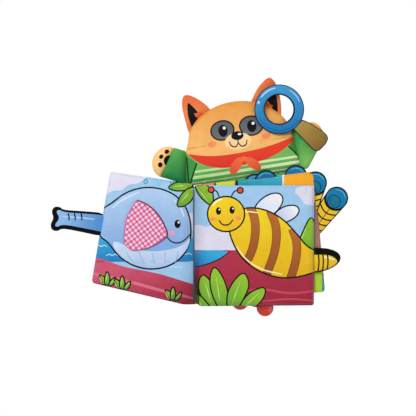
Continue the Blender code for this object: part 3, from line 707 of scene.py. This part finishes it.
right_art += leaves([(214, 312), (203, 300), (197, 286), (202, 272), (212, 282), (220, 296), (222, 312)],
                    [(222, 314), (212, 296), (209, 278), (214, 264), (224, 278), (229, 296), (229, 312)],
                    [(228, 314), (226, 296), (232, 282), (244, 270), (250, 284), (244, 298), (236, 312)],
                    [(236, 314), (242, 300), (252, 290), (266, 286), (264, 298), (254, 308), (244, 314)],
                    [(206, 314), (198, 308), (194, 298), (193, 290), (204, 298), (214, 312)])
# Painted shade: the right page darker on its slope down to the fold, much darker low in the fold, and a
# little darker along its outer edge.
right_art += [shade([(188, 180), (207, 180), (207, 310), (188, 310)], 0.66, (194, 240), (207, 240)),
              shade([(188, 240), (199.4, 240), (199.4, 310), (188, 310)], 0.20, (197, 292), (197, 252)),
              shade([(306, 180), (316, 180), (316, 310), (306, 310)], 0.90, (314, 240), (306, 240))]

# the leaves' hidden faces: a meadow, and a pond with two fish
meadow = [fill(blob([(190, 240), (230, 232), (270, 244), (320, 236), (330, 320), (180, 320)]), LIME, LEAF,
               (250, 236),
               (250, 306)),
          cloud(222, 204, 9), cloud(252, 222, 6),
          draw([(196, 262), (230, 252), (268, 262), (310, 252)], 0.0040, (0.78, 0.90, 0.40)),
          *inked(disc(286, 206, 11), YELLOW, (0.98, 0.70, 0.16), (282, 196), (290, 216)),
          *flowers(((212, 278, RED), (238, 290, ORANGE), (262, 276, PINK), (290, 288, RED)), 3.4, 22, LEAF)]
pond = [fill(blob([(180, 236), (214, 230), (250, 238), (290, 230), (340, 240), (350, 320), (170, 320)], 2),
             WATER, DEEP,
             (260, 232), (260, 306)),
        cloud(216, 200, 8), cloud(284, 210, 7)]
for y in range(242, 291, 12):
    pond.append(draw([(196, y + 4), (222, y), (250, y + 6), (280, y), (312, y + 6)], 0.0014, RIPPLE))
for x, y, colour in ((220, 262, ORANGE), (272, 274, RED)):
    pond += inked(blob([(x + 10, y), (x + 17, y - 6), (x + 15, y), (x + 17, y + 6)], 2), colour)
    pond += inked(disc(x, y, 12, 7), colour, YELLOW, (x, y - 6),
                  (x, y + 8)) + [fill(disc(x - 6, y - 1.5, 1.6), BLACK)]


def right_fold(v, heights, face):
    """Leaf one slopes down to the spine's seam at its inner edge."""
    t = (1 - np.clip((-0.0735 - v[:, 0]) / 0.0105, 0, 1)) ** 1.3
    return heights * t + (0.0166 if face else 0.0172) * (1 - t)


one = pad("leaf_one_pad", right_outline, *LAYERS["leaf_one"], right_art, SKY, "leaf_one",
          ["leaf_one_front_cloth", "leaf_one_back_cloth", "leaf_one_wadding", "leaf_one_crinkle_film",
           "leaf_one_margin"], "page_sky", SKY, meadow, warp=right_fold, simulate=True, crumple=0.2, seed=4.0,
          swell=0.010, pucker=0.0005)

# leaf two
two_outline = corners(metres([(-83.4, 80.4), (76.6, 98.7), (91.0, -61.8), (-83.4, -78.6)]), 0.005)
two_art = [
    fill(at([(185, 170), (214.6, 170), (214.6, 250), (185, 250)]), (0.86, 0.55, 0.30)),
    fill(at([(214.4, 170), (215.9, 170), (216.4, 250), (214.9, 250)]), BLACK),
    fill(at([(215.7, 170), (235.2, 170), (236.4, 250), (216.2, 250)]), (0.84, 0.84, 0.26)),
    fill(at([(235.0, 170), (237.8, 170), (238.8, 250), (236.2, 250)]), BLACK),
    fill(at([(237.6, 165), (282.2, 165), (281.6, 250), (238.6, 250)]), TEAL, (0.20, 0.66, 0.74), (240, 182),
         (280, 176)),
    fill(at([(282.0, 165), (284.2, 165), (283.6, 250), (281.4, 250)]), WHITE),
    fill(at([(284.0, 165), (340, 160), (340, 196.5), (284.0, 198)]), ORANGE, (0.98, 0.72, 0.22), (300, 176),
         (300, 194)),
    fill(at([(284, 197.4), (340, 195.5), (340, 201.5), (284, 203)]), WHITE),
    fill(at([(284, 202), (340, 200.5), (340, 250), (284, 250)]), MAUVE, (0.70, 0.48, 0.44), (318, 202),
         (320, 248)),
    fill(at([(180, 249), (345, 249), (345, 320), (180, 320)]), LIME, (0.70, 0.84, 0.24), (300, 250),
         (320, 290)),
    fill(at([(323.4, 200), (340, 200), (340, 320), (322.0, 320)]), TEAL),
    # Painted shade: leaf two darker at its inner edge, in the fold under leaf one.
    shade([(188, 165), (204, 165), (204, 320), (188, 320)], 0.2, (197, 240), (204, 240)),
]
for x, y, colour in ((215, 268, ORANGE), (252, 276, RED), (286, 266, ORANGE)):
    for k in range(6):
        two_art += inked(disc(x + 6.5 * math.cos(k * 1.047), y + 6.5 * math.sin(k * 1.047), 4.2), colour,
                         width=THIN)
    two_art += inked(disc(x, y, 3.8), YELLOW, width=THIN)


def two_fold(v, heights, face):
    """Leaf two climbs to the spine's seam, just below leaf one."""
    t = np.clip((-0.0750 - v[:, 0]) / 0.0085, 0, 1)
    return heights * (1 - t) + (0.0156 if face else 0.0161) * t


two = pad("leaf_two_pad", two_outline, *LAYERS["leaf_two"], two_art, SKY, "leaf_two",
          ["leaf_two_front_cloth", "leaf_two_back_cloth", "leaf_two_wadding", "leaf_two_crinkle_film",
           "leaf_two_margin"], "cloth_orange", SKY, pond, warp=two_fold, simulate=True, crumple=0.2, seed=6.0,
          swell=0.009, pucker=0.0005)

# back cover
back_outline = corners(metres([(-76.2, 82.9), (64.8, 103.9), (90.9, -45.3), (-76.2, -70.8)]), 0.006)
back_art = [
    fill(blob([(170, 252), (214, 238), (250, 250), (290, 236), (350, 246), (350, 320), (170, 320)], 2), LIME,
         GREEN,
         (250, 246), (250, 306)),
    cloud(286, 198, 8), *inked(disc(224, 200, 11), YELLOW, ORANGE, (222, 190), (226, 212)),
    *flowers(((222, 262, RED), (252, 274, YELLOW), (284, 258, RED), (304, 278, ORANGE)), 3.8, 24, GREEN),
    fill(metres([(-90, 79.2), (64, 98.4), (74, 110), (-90, 92)]), (0.34, 0.62, 0.34)),
]
pad("back_cover_pad", back_outline, *LAYERS["back_cover"], back_art, (0.55, 0.80, 0.88), "back_cover",
    ["back_cover_inner_cloth", "back_cover_outer_cloth", "back_cover_wadding", "back_cover_crinkle_film"],
    "cloth_teal", COVER, dots(196, 328, 160, 306), simulate=True, crumple=0.15, seed=8.0, swell=0.012,
    rim=0.2,
    pucker=0.0005, round_share=0.45)

# head and shoulders
TURN = math.radians(8.5)  # how far the head panel is turned on the cover


def plan(name, extra):
    """The convex outline of a CAD piece seen from above, carried on to layout points if there are any."""
    p = hull(np.array([(x.co.x, x.co.y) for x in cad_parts[name].data.vertices]))
    p = p[np.linalg.norm(p - np.roll(p, 1, axis=0), axis=1) > 0.0004]
    return hull(np.vstack((p, at(extra)))) if extra else p


def on_figure(u, v):
    """A point in millimetres from the middle of the head panel's base."""
    return (-17.1 + u * math.cos(TURN) - v * math.sin(TURN), 92.2 + u * math.sin(TURN) + v * math.cos(TURN))


def on_dome(a):
    """A point of the head's edge: half an ellipse, drawn in a little near its lower left."""
    bump = 3.6 * math.exp(-((math.sin(a) - 0.26) / 0.2) ** 2) if a > 2 else 0
    return on_figure(73.4 * math.cos(a) + bump, 41.3 + 60.2 * math.sin(a))


def pinch(v, heights, face):
    """A limb's filling runs out where it is sewn under the head panel's edge."""
    away = distance(v, figure_outline)[0]
    away[inside(v, figure_outline)] = 0
    t = np.clip(away / 0.010, 0, 1)
    return 0.0016 + (heights - 0.0016) * (0.08 + 0.92 * (1 - (1 - t) ** 2) ** 0.5)


figure_outline = metres([on_figure(78.6, -1.2), *[on_dome(a) for a in np.linspace(0, math.pi, 40)],
                         on_figure(-78.6, -1.6)])
head_art = [fill(at([(180, 150), (310, 130), (312, 175), (185, 195)]), (0.46, 0.73, 0.36), (0.22, 0.56, 0.28),
                 (246, 158), (248, 181))]
for y, width in ((164.0, 2.4), (169.6, 3.0), (175.2, 2.2), (180.4, 2.6)):
    head_art.append(draw([(190, y + 8.6), (220, y + 4.4), (250, y - 0.4), (280, y - 5.0), (306, y - 9.2)],
                         width * GRID, (0.72, 0.87, 0.58), (0.86, 0.93, 0.74), (200, y), (300, y - 10),
                         rounds=2, taper=False))
head_art += [
    fill(at([(184, 150), (187, 156), (197.4, 163.4), (190.6, 186), (186, 190), (180, 180)]), STRIPE),
    fill(at([(289, 146), (298, 154.6), (305.4, 168.4), (314, 168), (306, 150), (294, 136)]), STRIPE),
]
for edge in ([(186.8, 157), (187.6, 170), (189, 186)], [(197, 163), (193.6, 172), (189.6, 186)],
             [(288.4, 146), (297, 154), (302, 161), (305.2, 169)], [(293.4, 139), (301, 151.5), (306, 167)]):
    head_art.append(draw(edge, LINE * 0.9, BLACK, rounds=2, taper=False))
scarf = soften(at([(184.5, 150), (192, 158.6), (204, 165.6), (220, 168.4), (234, 167.2), (262, 161.2),
                   (282, 151.6),
                   (298, 136)]), 2, closed=False)
chin = soften(at([(296, 135.6), (274, 144.4), (256.5, 149.6), (227, 155.2), (207, 156.4), (184, 153.4)]), 2,
              closed=False)
head_art += [fill(scarf, RED, (0.84, 0.20, 0.14), (240, 150), (240, 168)),
             fill(np.vstack((at([(180, 70), (310, 70), (300, 134.4)]), chin)), (0.88, 0.58, 0.24),
                  (0.96, 0.72, 0.42),
                  (234, 102), (240, 140))]
for x, y, turn in ((222.4, 130.4, 14), (251.2, 125.6, 4)):
    head_art += inked(disc(x, y, 11.6, 9.6, turn), SLATE, (0.42, 0.43, 0.45), (x, y - 9), (x, y + 9))
    head_art += [fill(disc(x + 0.6, y + 0.4, 4.6, 6.0, 8), BLACK), fill(disc(x + 1.8, y - 2.4, 1.5), WHITE)]
head_art += inked(disc(238, 141.2, 13.2, 8.8, 8), (0.99, 0.86, 0.66), (0.98, 0.80, 0.56), (238, 133),
                  (238, 150),
                  LINE * 0.01)
head_art += [
    fill(disc(237.4, 135.6, 6.2, 4.4, 8), BLACK), fill(disc(239.6, 134.0, 1.9, 1.0, 8), WHITE),
    draw([(237.8, 139), (238.2, 143)], LINE * 0.8, BLACK, rounds=1, taper=False),
    draw([(229.4, 141.6), (231, 146), (236, 147.4), (238.4, 142.6)], LINE * 0.9, BLACK),
    draw([(238.4, 142.6), (241.4, 146.8), (246.6, 144.8), (247, 139.6)], LINE * 0.9, BLACK),
    fill(disc(212, 144.4, 4.6, 2.9, 8), CHEEK), fill(disc(266, 136.0, 4.6, 2.9, 8), CHEEK),
    fill(disc(236.2, 165.8, 9.6, 4.8, 58), KNOT, (0.88, 0.34, 0.20), (243, 158), (232, 172)),
    fill(disc(253.2, 163.6, 9.2, 4.7, -36), KNOT, (0.88, 0.34, 0.20), (244, 158), (260, 168)),
    fill(disc(243.8, 158.8, 3.0, 2.6), KNOT),
]
head = pad("head_and_shirt", figure_outline, *LAYERS["head"], head_art, GREEN, "back_cover",
           ["figure_front_cloth", "figure_back_cloth", "figure_wadding", "figure_crinkle_film"],
           "head_orange",
           (0.85, 0.55, 0.30), simulate=True, seed=10.0, swell=0.026, rim=0.16, pucker=0.0006, padding=0.6)

ears = {  # each ear's edge, its dark inside and the tuft in it
    "ear_left": (
        [(210.4, 108.4), (204, 103), (198.4, 99), (193, 96.2), (188, 94.4), (183.6, 95), (181.8, 100),
         (182, 107),
         (183.4, 114), (185.6, 122), (187.6, 130), (191.6, 138), (202, 134), (212, 118)],
        [(187.4, 101.8), (191, 104.6), (196, 109.6), (199, 114), (201.4, 119), (197, 123), (193.4, 129.4),
         (189.6, 122), (187.2, 112)],
        [(200.6, 111), (196, 113.2), (193.8, 112.6), (195, 116.2), (198, 117.6), (197, 120), (201, 119.6),
         (205, 115)]),
    "ear_right": (
        [(250.6, 103), (253.4, 96), (257.2, 88.6), (261.8, 82.8), (266.4, 78.2), (270.4, 76.8), (274.6, 80.4),
         (277.8, 87), (280.2, 96), (281.6, 106), (281.6, 116), (279.4, 127), (266, 122), (254, 112)],
        [(264, 96), (270, 88.6), (274.4, 88), (276.6, 95), (278, 104), (277.8, 113), (277, 121), (270, 115),
         (262, 110)],
        [(262, 107), (266, 102.6), (266, 99), (269, 101.6), (271, 105.4), (273, 104), (272, 109),
         (268, 113)]),
}
for k, (name, (edge, dark, tuft)) in enumerate(ears.items()):
    art = [fill(grow(blob(edge, 2), 0.001), EAR, (0.92, 0.50, 0.27), edge[len(edge) // 3],
                np.mean(edge, axis=0)),
           fill(blob(dark, 2), BLACK), fill(blob(tuft, 2), EAR)]
    pad(name + "_pad", blob(edge, 2), *LAYERS["ear"], art, EAR, "back_cover", [name], "ear_red",
        seed=12.0 + k,
        swell=0.007, pucker=0.0004, warp=pinch)

sleeves = {  # each sleeve's edge, and its two greens with where they start and end
    "sleeve_left": (plan("sleeve_left", [(190, 158), (192, 184)]) + (0.0, 0.0006),
                    (0.34, 0.68, 0.30), (0.10, 0.46, 0.24), (176, 146), (182, 178)),
    "sleeve_right": (corners(at([(286, 142), (288, 131.4), (293.6, 126), (299, 126), (306, 130.4),
                                 (316.6, 141),
                                 (317.8, 150.4), (316.8, 152.4), (308.8, 167.4), (306.4, 169), (300, 168)]),
                                 0.003),
                     (0.24, 0.58, 0.28), (0.52, 0.78, 0.38), (300, 138), (312, 166)),
}
for k, (name, (edge, *greens)) in enumerate(sleeves.items()):
    pad(name + "_pad", edge, *LAYERS["sleeve"], [fill(grow(edge, 0.002), *greens)], GREEN, "back_cover",
        [name],
        "cloth_green", seed=14.0 + k, swell=0.011, rim=0.4, pucker=0.0010, padding=0.7, warp=pinch)

shoulder = at([(299, 123)])
paws = {
    "paw_left": (plan("paw_left", [(170.4, 148.6), (163.8, 169.6)]) + (0.0009, 0.0), PAW,
                 [fill(disc(*toe), BLACK) for toe in ((166.8, 151.6, 2.5, 2.1, 40),
                                                      (161.2, 156.6, 2.4, 2.0, 50),
                                                      (160.2, 164.8, 2.3, 2.6),
                                                      (168.0, 160.4, 4.2, 5.2, -20))]),
    "paw_right": ((plan("paw_right", [(304.5, 129), (314, 150)]) - shoulder) * (0.89, 0.96) + shoulder
                  + (0.0006, 0.0008), HEAD,
                  [fill(at([(280, 130), (300, 116), (308, 122), (324, 146), (320, 170), (290, 160)]),
                        (0.30, 0.62, 0.30), (0.14, 0.50, 0.25), (304, 130), (316, 150))]),
}
for k, (name, (edge, colour, art)) in enumerate(paws.items()):
    pad(name + "_pad", edge, *LAYERS["paw"], art, colour, "back_cover", [name], "head_orange", seed=15.0 + k,
        swell=0.013, rim=0.4, padding=0.75)

# magnifier
RING_X, RING_Y = 279.2, 109.4
RING_FELT = {"rim": 0.5, "pucker": 0.0003, "cover": FELT, "step": 0.0016, "swell": 0.006}
# Painted light and shade: the ring's blue is lighter at the top than at the bottom.
ring_art = [fill(disc(RING_X, RING_Y, 24.0, count=72), (0.13, 0.45, 0.68), (0.26, 0.60, 0.82), (279, 132),
                 (279, 86)),
            fill(disc(RING_X, RING_Y, 15.7, count=60), NAVY)]
# Painted highlights in pale arcs round the upper left, the left and the upper right, and a painted shade in a
# dark arc round the lower side.
for start, end, width, colour in ((100, 148, 1.5, (0.70, 0.84, 0.96)), (158, 166, 2.2, (0.70, 0.84, 0.96)),
                                  (20, 62, 0.9, (0.70, 0.84, 0.96)), (205, 330, 1.0, (0.10, 0.38, 0.66))):
    turns = [math.radians(t) for t in np.linspace(start, end, 9)]
    ring_art.append(draw([(RING_X + 21.6 * math.cos(t), RING_Y - 21.6 * math.sin(t)) for t in turns],
                         width * GRID,
                         colour, rounds=1))
pad("magnifier_ring_pad", disc(RING_X, RING_Y, 24.9, count=72), *LAYERS["magnifier"], ring_art, NAVY,
    "magnifier",
    ["magnifier_ring"], "cloth_blue", seed=18.0, holes=[disc(RING_X - 0.3, RING_Y, 14.4, count=60)],
    **RING_FELT)
handle = corners(at([(295, 131.2), (293.4, 129), (302.2, 119.4), (311.4, 123.8), (321.8, 130.4),
                     (326.9, 134.8),
                     (328.2, 139), (325.6, 144.4), (319.6, 150.4), (315.8, 151.6), (312.6, 149.6)]), 0.002)
handle_art = [fill(grow(handle, -0.0012), (0.66, 0.55, 0.28), (0.53, 0.41, 0.18), (300, 126), (322, 146))]
pad("magnifier_handle_pad", handle, *LAYERS["magnifier"], handle_art, (0.16, 0.17, 0.16), "magnifier",
    ["magnifier_handle"], "handle_olive", seed=19.0, **RING_FELT)

# tabs
TAB_FELT = {"rim": 0.4, "pucker": 0.0003, "cover": FELT, "step": 0.0018}
tail = blob([(107, 212.4), (84, 210.4), (63, 209.2), (60.4, 206.2), (54.4, 205.6), (51.2, 210.6),
             (53.8, 217.2),
             (50.2, 223.6), (51.6, 229.4), (57.4, 230.8), (62, 227.6), (80, 231), (104, 236.2), (107, 230)],
             2)
tail_art = [fill(blob([(112, 215.8), (84, 213.6), (64, 212.4), (59.0, 209.6), (55.4, 211.2), (59.6, 218.2),
                       (54.2, 224.6), (56.4, 227.4), (62, 224.2), (80, 227.4), (112, 234.0)], 2),
                       (0.56, 0.73, 0.91),
                 (0.30, 0.54, 0.80), (58, 216), (100, 228)),
            draw([(62, 216.4), (76, 217.4), (94, 219.2)], 0.0022, (0.66, 0.80, 0.94))]
for x in (68.2, 74.4, 81.0):
    tail_art.append(draw([(x - 0.6, 213.0), (x + 0.5, 216.6), (x + 0.4, 220.6)], LINE, BLACK))
pad("tail_tab_pad", tail - (0.0007, 0.0010), *LAYERS["tail"], tail_art, BLACK, "front_cover", ["tail_tab"],
    "cloth_blue", BLACK, seed=20.0, swell=0.005, **TAB_FELT)
band_art = [fill(blob([(308, 254.9), (322, 254.4), (330.4, 255.2), (337, 259.6), (336.6, 263.4), (330, 267.8),
                       (322, 270), (308, 272)], 2), YELLOW, (0.90, 0.68, 0.20), (322, 253), (324, 271)),
            draw([(322, 257), (328, 257.4), (334, 259.6)], 0.0024, (0.99, 0.95, 0.74))]
for x in (316.8, 321.2, 325.8):
    band_art.append(draw([(x, 250), (x + 1.6, 256), (x + 1.8, 264), (x + 0.4, 274)], LINE, BLACK, rounds=2,
                         taper=False))
pad("banded_tab_pad", plan("banded_tab", []), *LAYERS["band"], band_art, BLACK, "leaf_one", ["banded_tab"],
    "cloth_yellow", BLACK, seed=21.0, swell=0.006, **TAB_FELT)

ROUND = np.linspace(0, 2 * math.pi, 40, endpoint=False)
fan_root = np.array((0.0482, -0.0222))
fan_ends = metres([(-2.5, 80.7), (12.2, 85.3), (52.2, 92.0), (78.2, 83.6), (106.6, 63.2)])


def fan_tab(number, end, way, low):
    """One padded tab of the fan: a banded strip with a round end."""
    side = np.array((-way[1], way[0]))

    def spot(along, across):
        return end + way * along + side * across

    def arc(along, r, angles=ROUND):
        return np.array([spot(along + r * math.cos(t), r * math.sin(t)) for t in angles])

    lobe = [spot(-0.0154 * math.sin(t), -0.0154 * math.cos(t)) for t in np.linspace(0, math.pi, 28)]
    edge = np.array([spot(0.062, -0.0105), *lobe, spot(0.062, 0.0105)])
    art = [fill(np.array([spot(0.004, -0.0134), spot(0.070, -0.0091), spot(0.070, 0.0091),
                          spot(0.004, 0.0134)]),
                YELLOW, (0.90, 0.70, 0.16), (300, 190), (340, 240))]
    for n in range(6):
        a = 0.022 + 0.0088 * n
        bar = [spot(a - 0.0030, -0.013), spot(a + 0.0022, -0.0045), spot(a + 0.0022, 0.0045),
               spot(a - 0.0030, 0.013)]
        art.append(fill(ribbon(soften(bar, 2, False), LINE, False), BLACK))
    art += [
        fill(ribbon([spot(0.017, 0.001), spot(0.040, 0.0016), spot(0.080, 0.0008)], 0.0009, False), BLACK),
        fill(arc(0.0016, 0.0160), BLACK),
        fill(arc(0.0006, 0.0139), FAN, (0.05, 0.48, 0.66), (300, 210), (330, 180)),
        fill(arc(0.0062, 0.0090), BLACK),
        fill(arc(0.0062, 0.0081), (0.02, 0.36, 0.54), (0.08, 0.46, 0.60), (300, 210), (330, 190)),
        fill(ribbon(arc(0.0062, 0.0052, np.linspace(-2.2, 1.4, 12)), 0.0007), (0.02, 0.22, 0.36)),
        fill(ribbon(arc(0.0006, 0.0118, np.linspace(2.2, 3.9, 10)), 0.0012), (0.36, 0.70, 0.82)),
    ]
    pad(f"fan_tab_{number}_pad", edge, low, low + 0.0017, art, BLACK, "leaf_two", [f"fan_tab_{number}"],
        "fan_blue",
        FAN, seed=21.0 + number, swell=0.004, rim=0.4, pucker=0.0002, step=0.0024, padding=0.3)


for k, end in enumerate(fan_ends):
    way = fan_root + (0, 0.009 if k == 4 else 0) - end
    low = 0.0126 if k % 2 else 0.0106  # every second tab lies over its neighbours
    fan_tab(k + 1, end, way / np.linalg.norm(way), low)

# gingham flap
period, bars = 4.1, []
c, s = math.cos(math.radians(-37)), math.sin(math.radians(-37))
for k in range(-10, 11):
    for way, cross in (((c, s), (-s, c)), ((-s, c), (c, s))):
        middle = np.array((145, 226)) + np.array(way) * k * period
        run, half = np.array(cross) * 40, np.array(way) * period * 0.26
        bars.append(np.array((middle - run - half, middle - run + half, middle + run + half,
                              middle + run - half)))
first = [fill(at(bar), CHECK) for bar in bars[0::2]]
second = [fill(at(bar), CHECK) for bar in bars[1::2]]
squares = [[fill(at(bar), (0.86, 0.38, 0.57), within=at(other)) for other in bars[0::2]]
           for bar in bars[1::2]]
lines = [fill(ribbon(at([(bar[0] + bar[1]) / 2, (bar[2] + bar[3]) / 2]), 0.0006, False), (0.78, 0.34, 0.53))
         for bar in bars]
crossed = [shape for bar, row in zip(second, squares) for shape in (bar, *row)]
v, f, spots = flat_mesh(resample(flap_edge, STEP), [], first + second + lines, STEP)
tone = colours_of(first + crossed + lines, spots, v[f], (0.97, 0.86, 0.91))
hem, lie = (-0.172, -0.120), (0.0083, 0.0093)  # from the sewn edge to the loose one, and the heights there
folds = [abs(noise.noise(Vector((p[0] * 55 + p[1] * 30, p[1] * 70, 30)))) for p in v]
away = distance(v, flap_edge)[0]
heights = np.interp(v[:, 0], hem, lie) + 0.0022 * (folds + 0.3 * field(v, 150, 8)) * np.clip(away / 0.005,
                                                                                             0.15, 1)
flap = build("gingham_flap_sheet", [(np.column_stack((v, heights)), f, tone)], GINGHAM, "gingham_flap",
             ["gingham_flap"])
thick = flap.modifiers.new("cloth", "SOLIDIFY")
thick.thickness, thick.offset = 0.0007, 0.0

edge = resample(flap_edge, 0.0012)
edge = np.column_stack((edge, np.interp(edge[:, 0], hem, lie)))
verts, faces, count = [], [], len(edge)
for k in range(count):
    flow = edge[(k + 1) % count] - edge[k - 1]
    flow /= np.linalg.norm(flow)
    out = np.array((flow[1], -flow[0], 0.0))
    here, ahead = k * 8, (k + 1) % count * 8
    for j in range(8):
        a, beside = j * math.pi / 4, (j + 1) % 8
        verts.append(edge[k] + out * 0.0005 * math.cos(a) + np.array((0, 0, 0.0007 * math.sin(a))))
        faces += [(here + j, ahead + j, ahead + beside), (here + j, ahead + beside, here + beside)]
tone = np.tile(linear((0.84, 0.30, 0.50)), (len(faces), 3, 1))
build("flap_binding_piece", [(np.array(verts), np.array(faces), tone)], COTTON, "gingham_flap",
      ["flap_binding"])

# spine, strap and teether
# Painted shade: the spine cloths and the seam between the pages are a dull blue darker than the pages,
# standing for the shade in the fold.
SPINE_SHADE_BLUE = (0.30, 0.44, 0.62)
copied("spine_cloth_front", "front_cover", SPINE_SHADE_BLUE, SATIN, 0.0002, (-0.0725, 0.0735))
copied("spine_cloth_back", "back_cover", SPINE_SHADE_BLUE, SATIN, 0.0002, (-0.0690, 0.0735))
copied("spine_seam", "back_cover", (0.28, 0.34, 0.46), COTTON, 0.0002, (-0.0735, 0.0740))
copied("teether_strap", "back_cover", (0.86, 0.24, 0.20), COTTON, 0.0001)
rubber = bpy.data.materials.new("teether_red")
rubber.use_nodes = True
tree = rubber.node_tree
for key, value in (("Base Color", (*linear((0.93, 0.16, 0.10)), 1)), ("Roughness", 0.07),
                   ("Transmission Weight", 0.35), ("IOR", 1.43), ("Coat Weight", 1.0)):
    tree.nodes["Principled BSDF"].inputs[key].default_value = value
cloudy = node(tree, "ShaderNodeTexNoise", Scale=180.0, Detail=3.0)
uneven = node(tree, "ShaderNodeBump", Strength=0.3, Distance=0.0008)
tree.links.new(cloudy.outputs["Fac"], uneven.inputs["Height"])
tree.links.new(uneven.outputs["Normal"], tree.nodes["Principled BSDF"].inputs["Normal"])
copied("teether", "teether", RED, rubber)

# stitches
stitches("front_cover_stitches", front, left_outline, "front_cover", (0.58, 0.62, 0.76), (-0.100, 0))
stitches("leaf_one_stitches", one, right_outline, "leaf_one", (0.56, 0.62, 0.78), (-1, -0.073))
stitches("leaf_two_stitches", two, two_outline, "leaf_two", (0.92, 0.74, 0.46), (-1, -0.073))
stitches("head_stitches", head, figure_outline, "back_cover", (0.86, 0.56, 0.28), (1, 1))

# floor, light and camera
scene = bpy.context.scene
ground = bpy.data.meshes.new("floor")
ground.from_pydata([(-4, -4, -0.0005), (4, -4, -0.0005), (4, 4, -0.0005), (-4, 4, -0.0005)], [],
                   [(0, 1, 2, 3)])
floor = bpy.data.objects.new("floor", ground)
scene.collection.objects.link(floor)
white = bpy.data.materials.new("white_floor")
white.use_nodes = True
tree = white.node_tree
ray = node(tree, "ShaderNodeLightPath")
glow = node(tree, "ShaderNodeEmission", Color=(1, 1, 1, 1), Strength=1.0)
either = node(tree, "ShaderNodeMath", operation="MAXIMUM")
tree.links.new(ray.outputs["Is Camera Ray"], either.inputs[0])
tree.links.new(ray.outputs["Is Transmission Ray"], either.inputs[1])
choice = node(tree, "ShaderNodeMixShader")
matt = tree.nodes["Principled BSDF"]
matt.inputs["Base Color"].default_value = (0.85, 0.85, 0.85, 1)
tree.links.new(either.outputs[0], choice.inputs["Fac"])
tree.links.new(matt.outputs[0], choice.inputs[1])
tree.links.new(glow.outputs[0], choice.inputs[2])
tree.links.new(choice.outputs[0], tree.nodes["Material Output"].inputs["Surface"])
ground.materials.append(white)
floor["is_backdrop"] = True

room = bpy.data.worlds.new("room")
scene.world = room
room.use_nodes = True
room.node_tree.nodes["Background"].inputs["Color"].default_value = (1, 1, 1, 1)
room.node_tree.nodes["Background"].inputs["Strength"].default_value = ROOM

AIM = (-0.065, 0.05, 0)  # the place on the book that both lamps point at
for name, place, size, power in (("key", (-0.9, 0.9, 1.5), 0.9, KEY), ("side", (1.2, -0.5, 1.2), 1.2, SIDE)):
    lamp = bpy.data.lights.new(name, "AREA")
    lamp.size, lamp.energy = size, power
    lit = bpy.data.objects.new(name, lamp)
    lit.location = place
    lit.rotation_mode = "QUATERNION"
    lit.rotation_quaternion = (Vector(AIM) - Vector(place)).to_track_quat("-Z", "Y")
    scene.collection.objects.link(lit)

CAMERA_HEIGHT, SHARP_HEIGHT, SENSOR = 2.6, 0.012, 36  # metres, metres, millimetres
lens = bpy.data.cameras.new("camera")
camera = bpy.data.objects.new("camera", lens)
scene.collection.objects.link(camera)
scene.camera = camera
camera.location = (*at([(VIEW / 2, VIEW / 2)])[0], CAMERA_HEIGHT)
lens.sensor_width = SENSOR
lens.lens = SENSOR * (CAMERA_HEIGHT - SHARP_HEIGHT) / (VIEW * GRID)
scene.view_settings.view_transform = "Standard"

low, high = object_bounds()
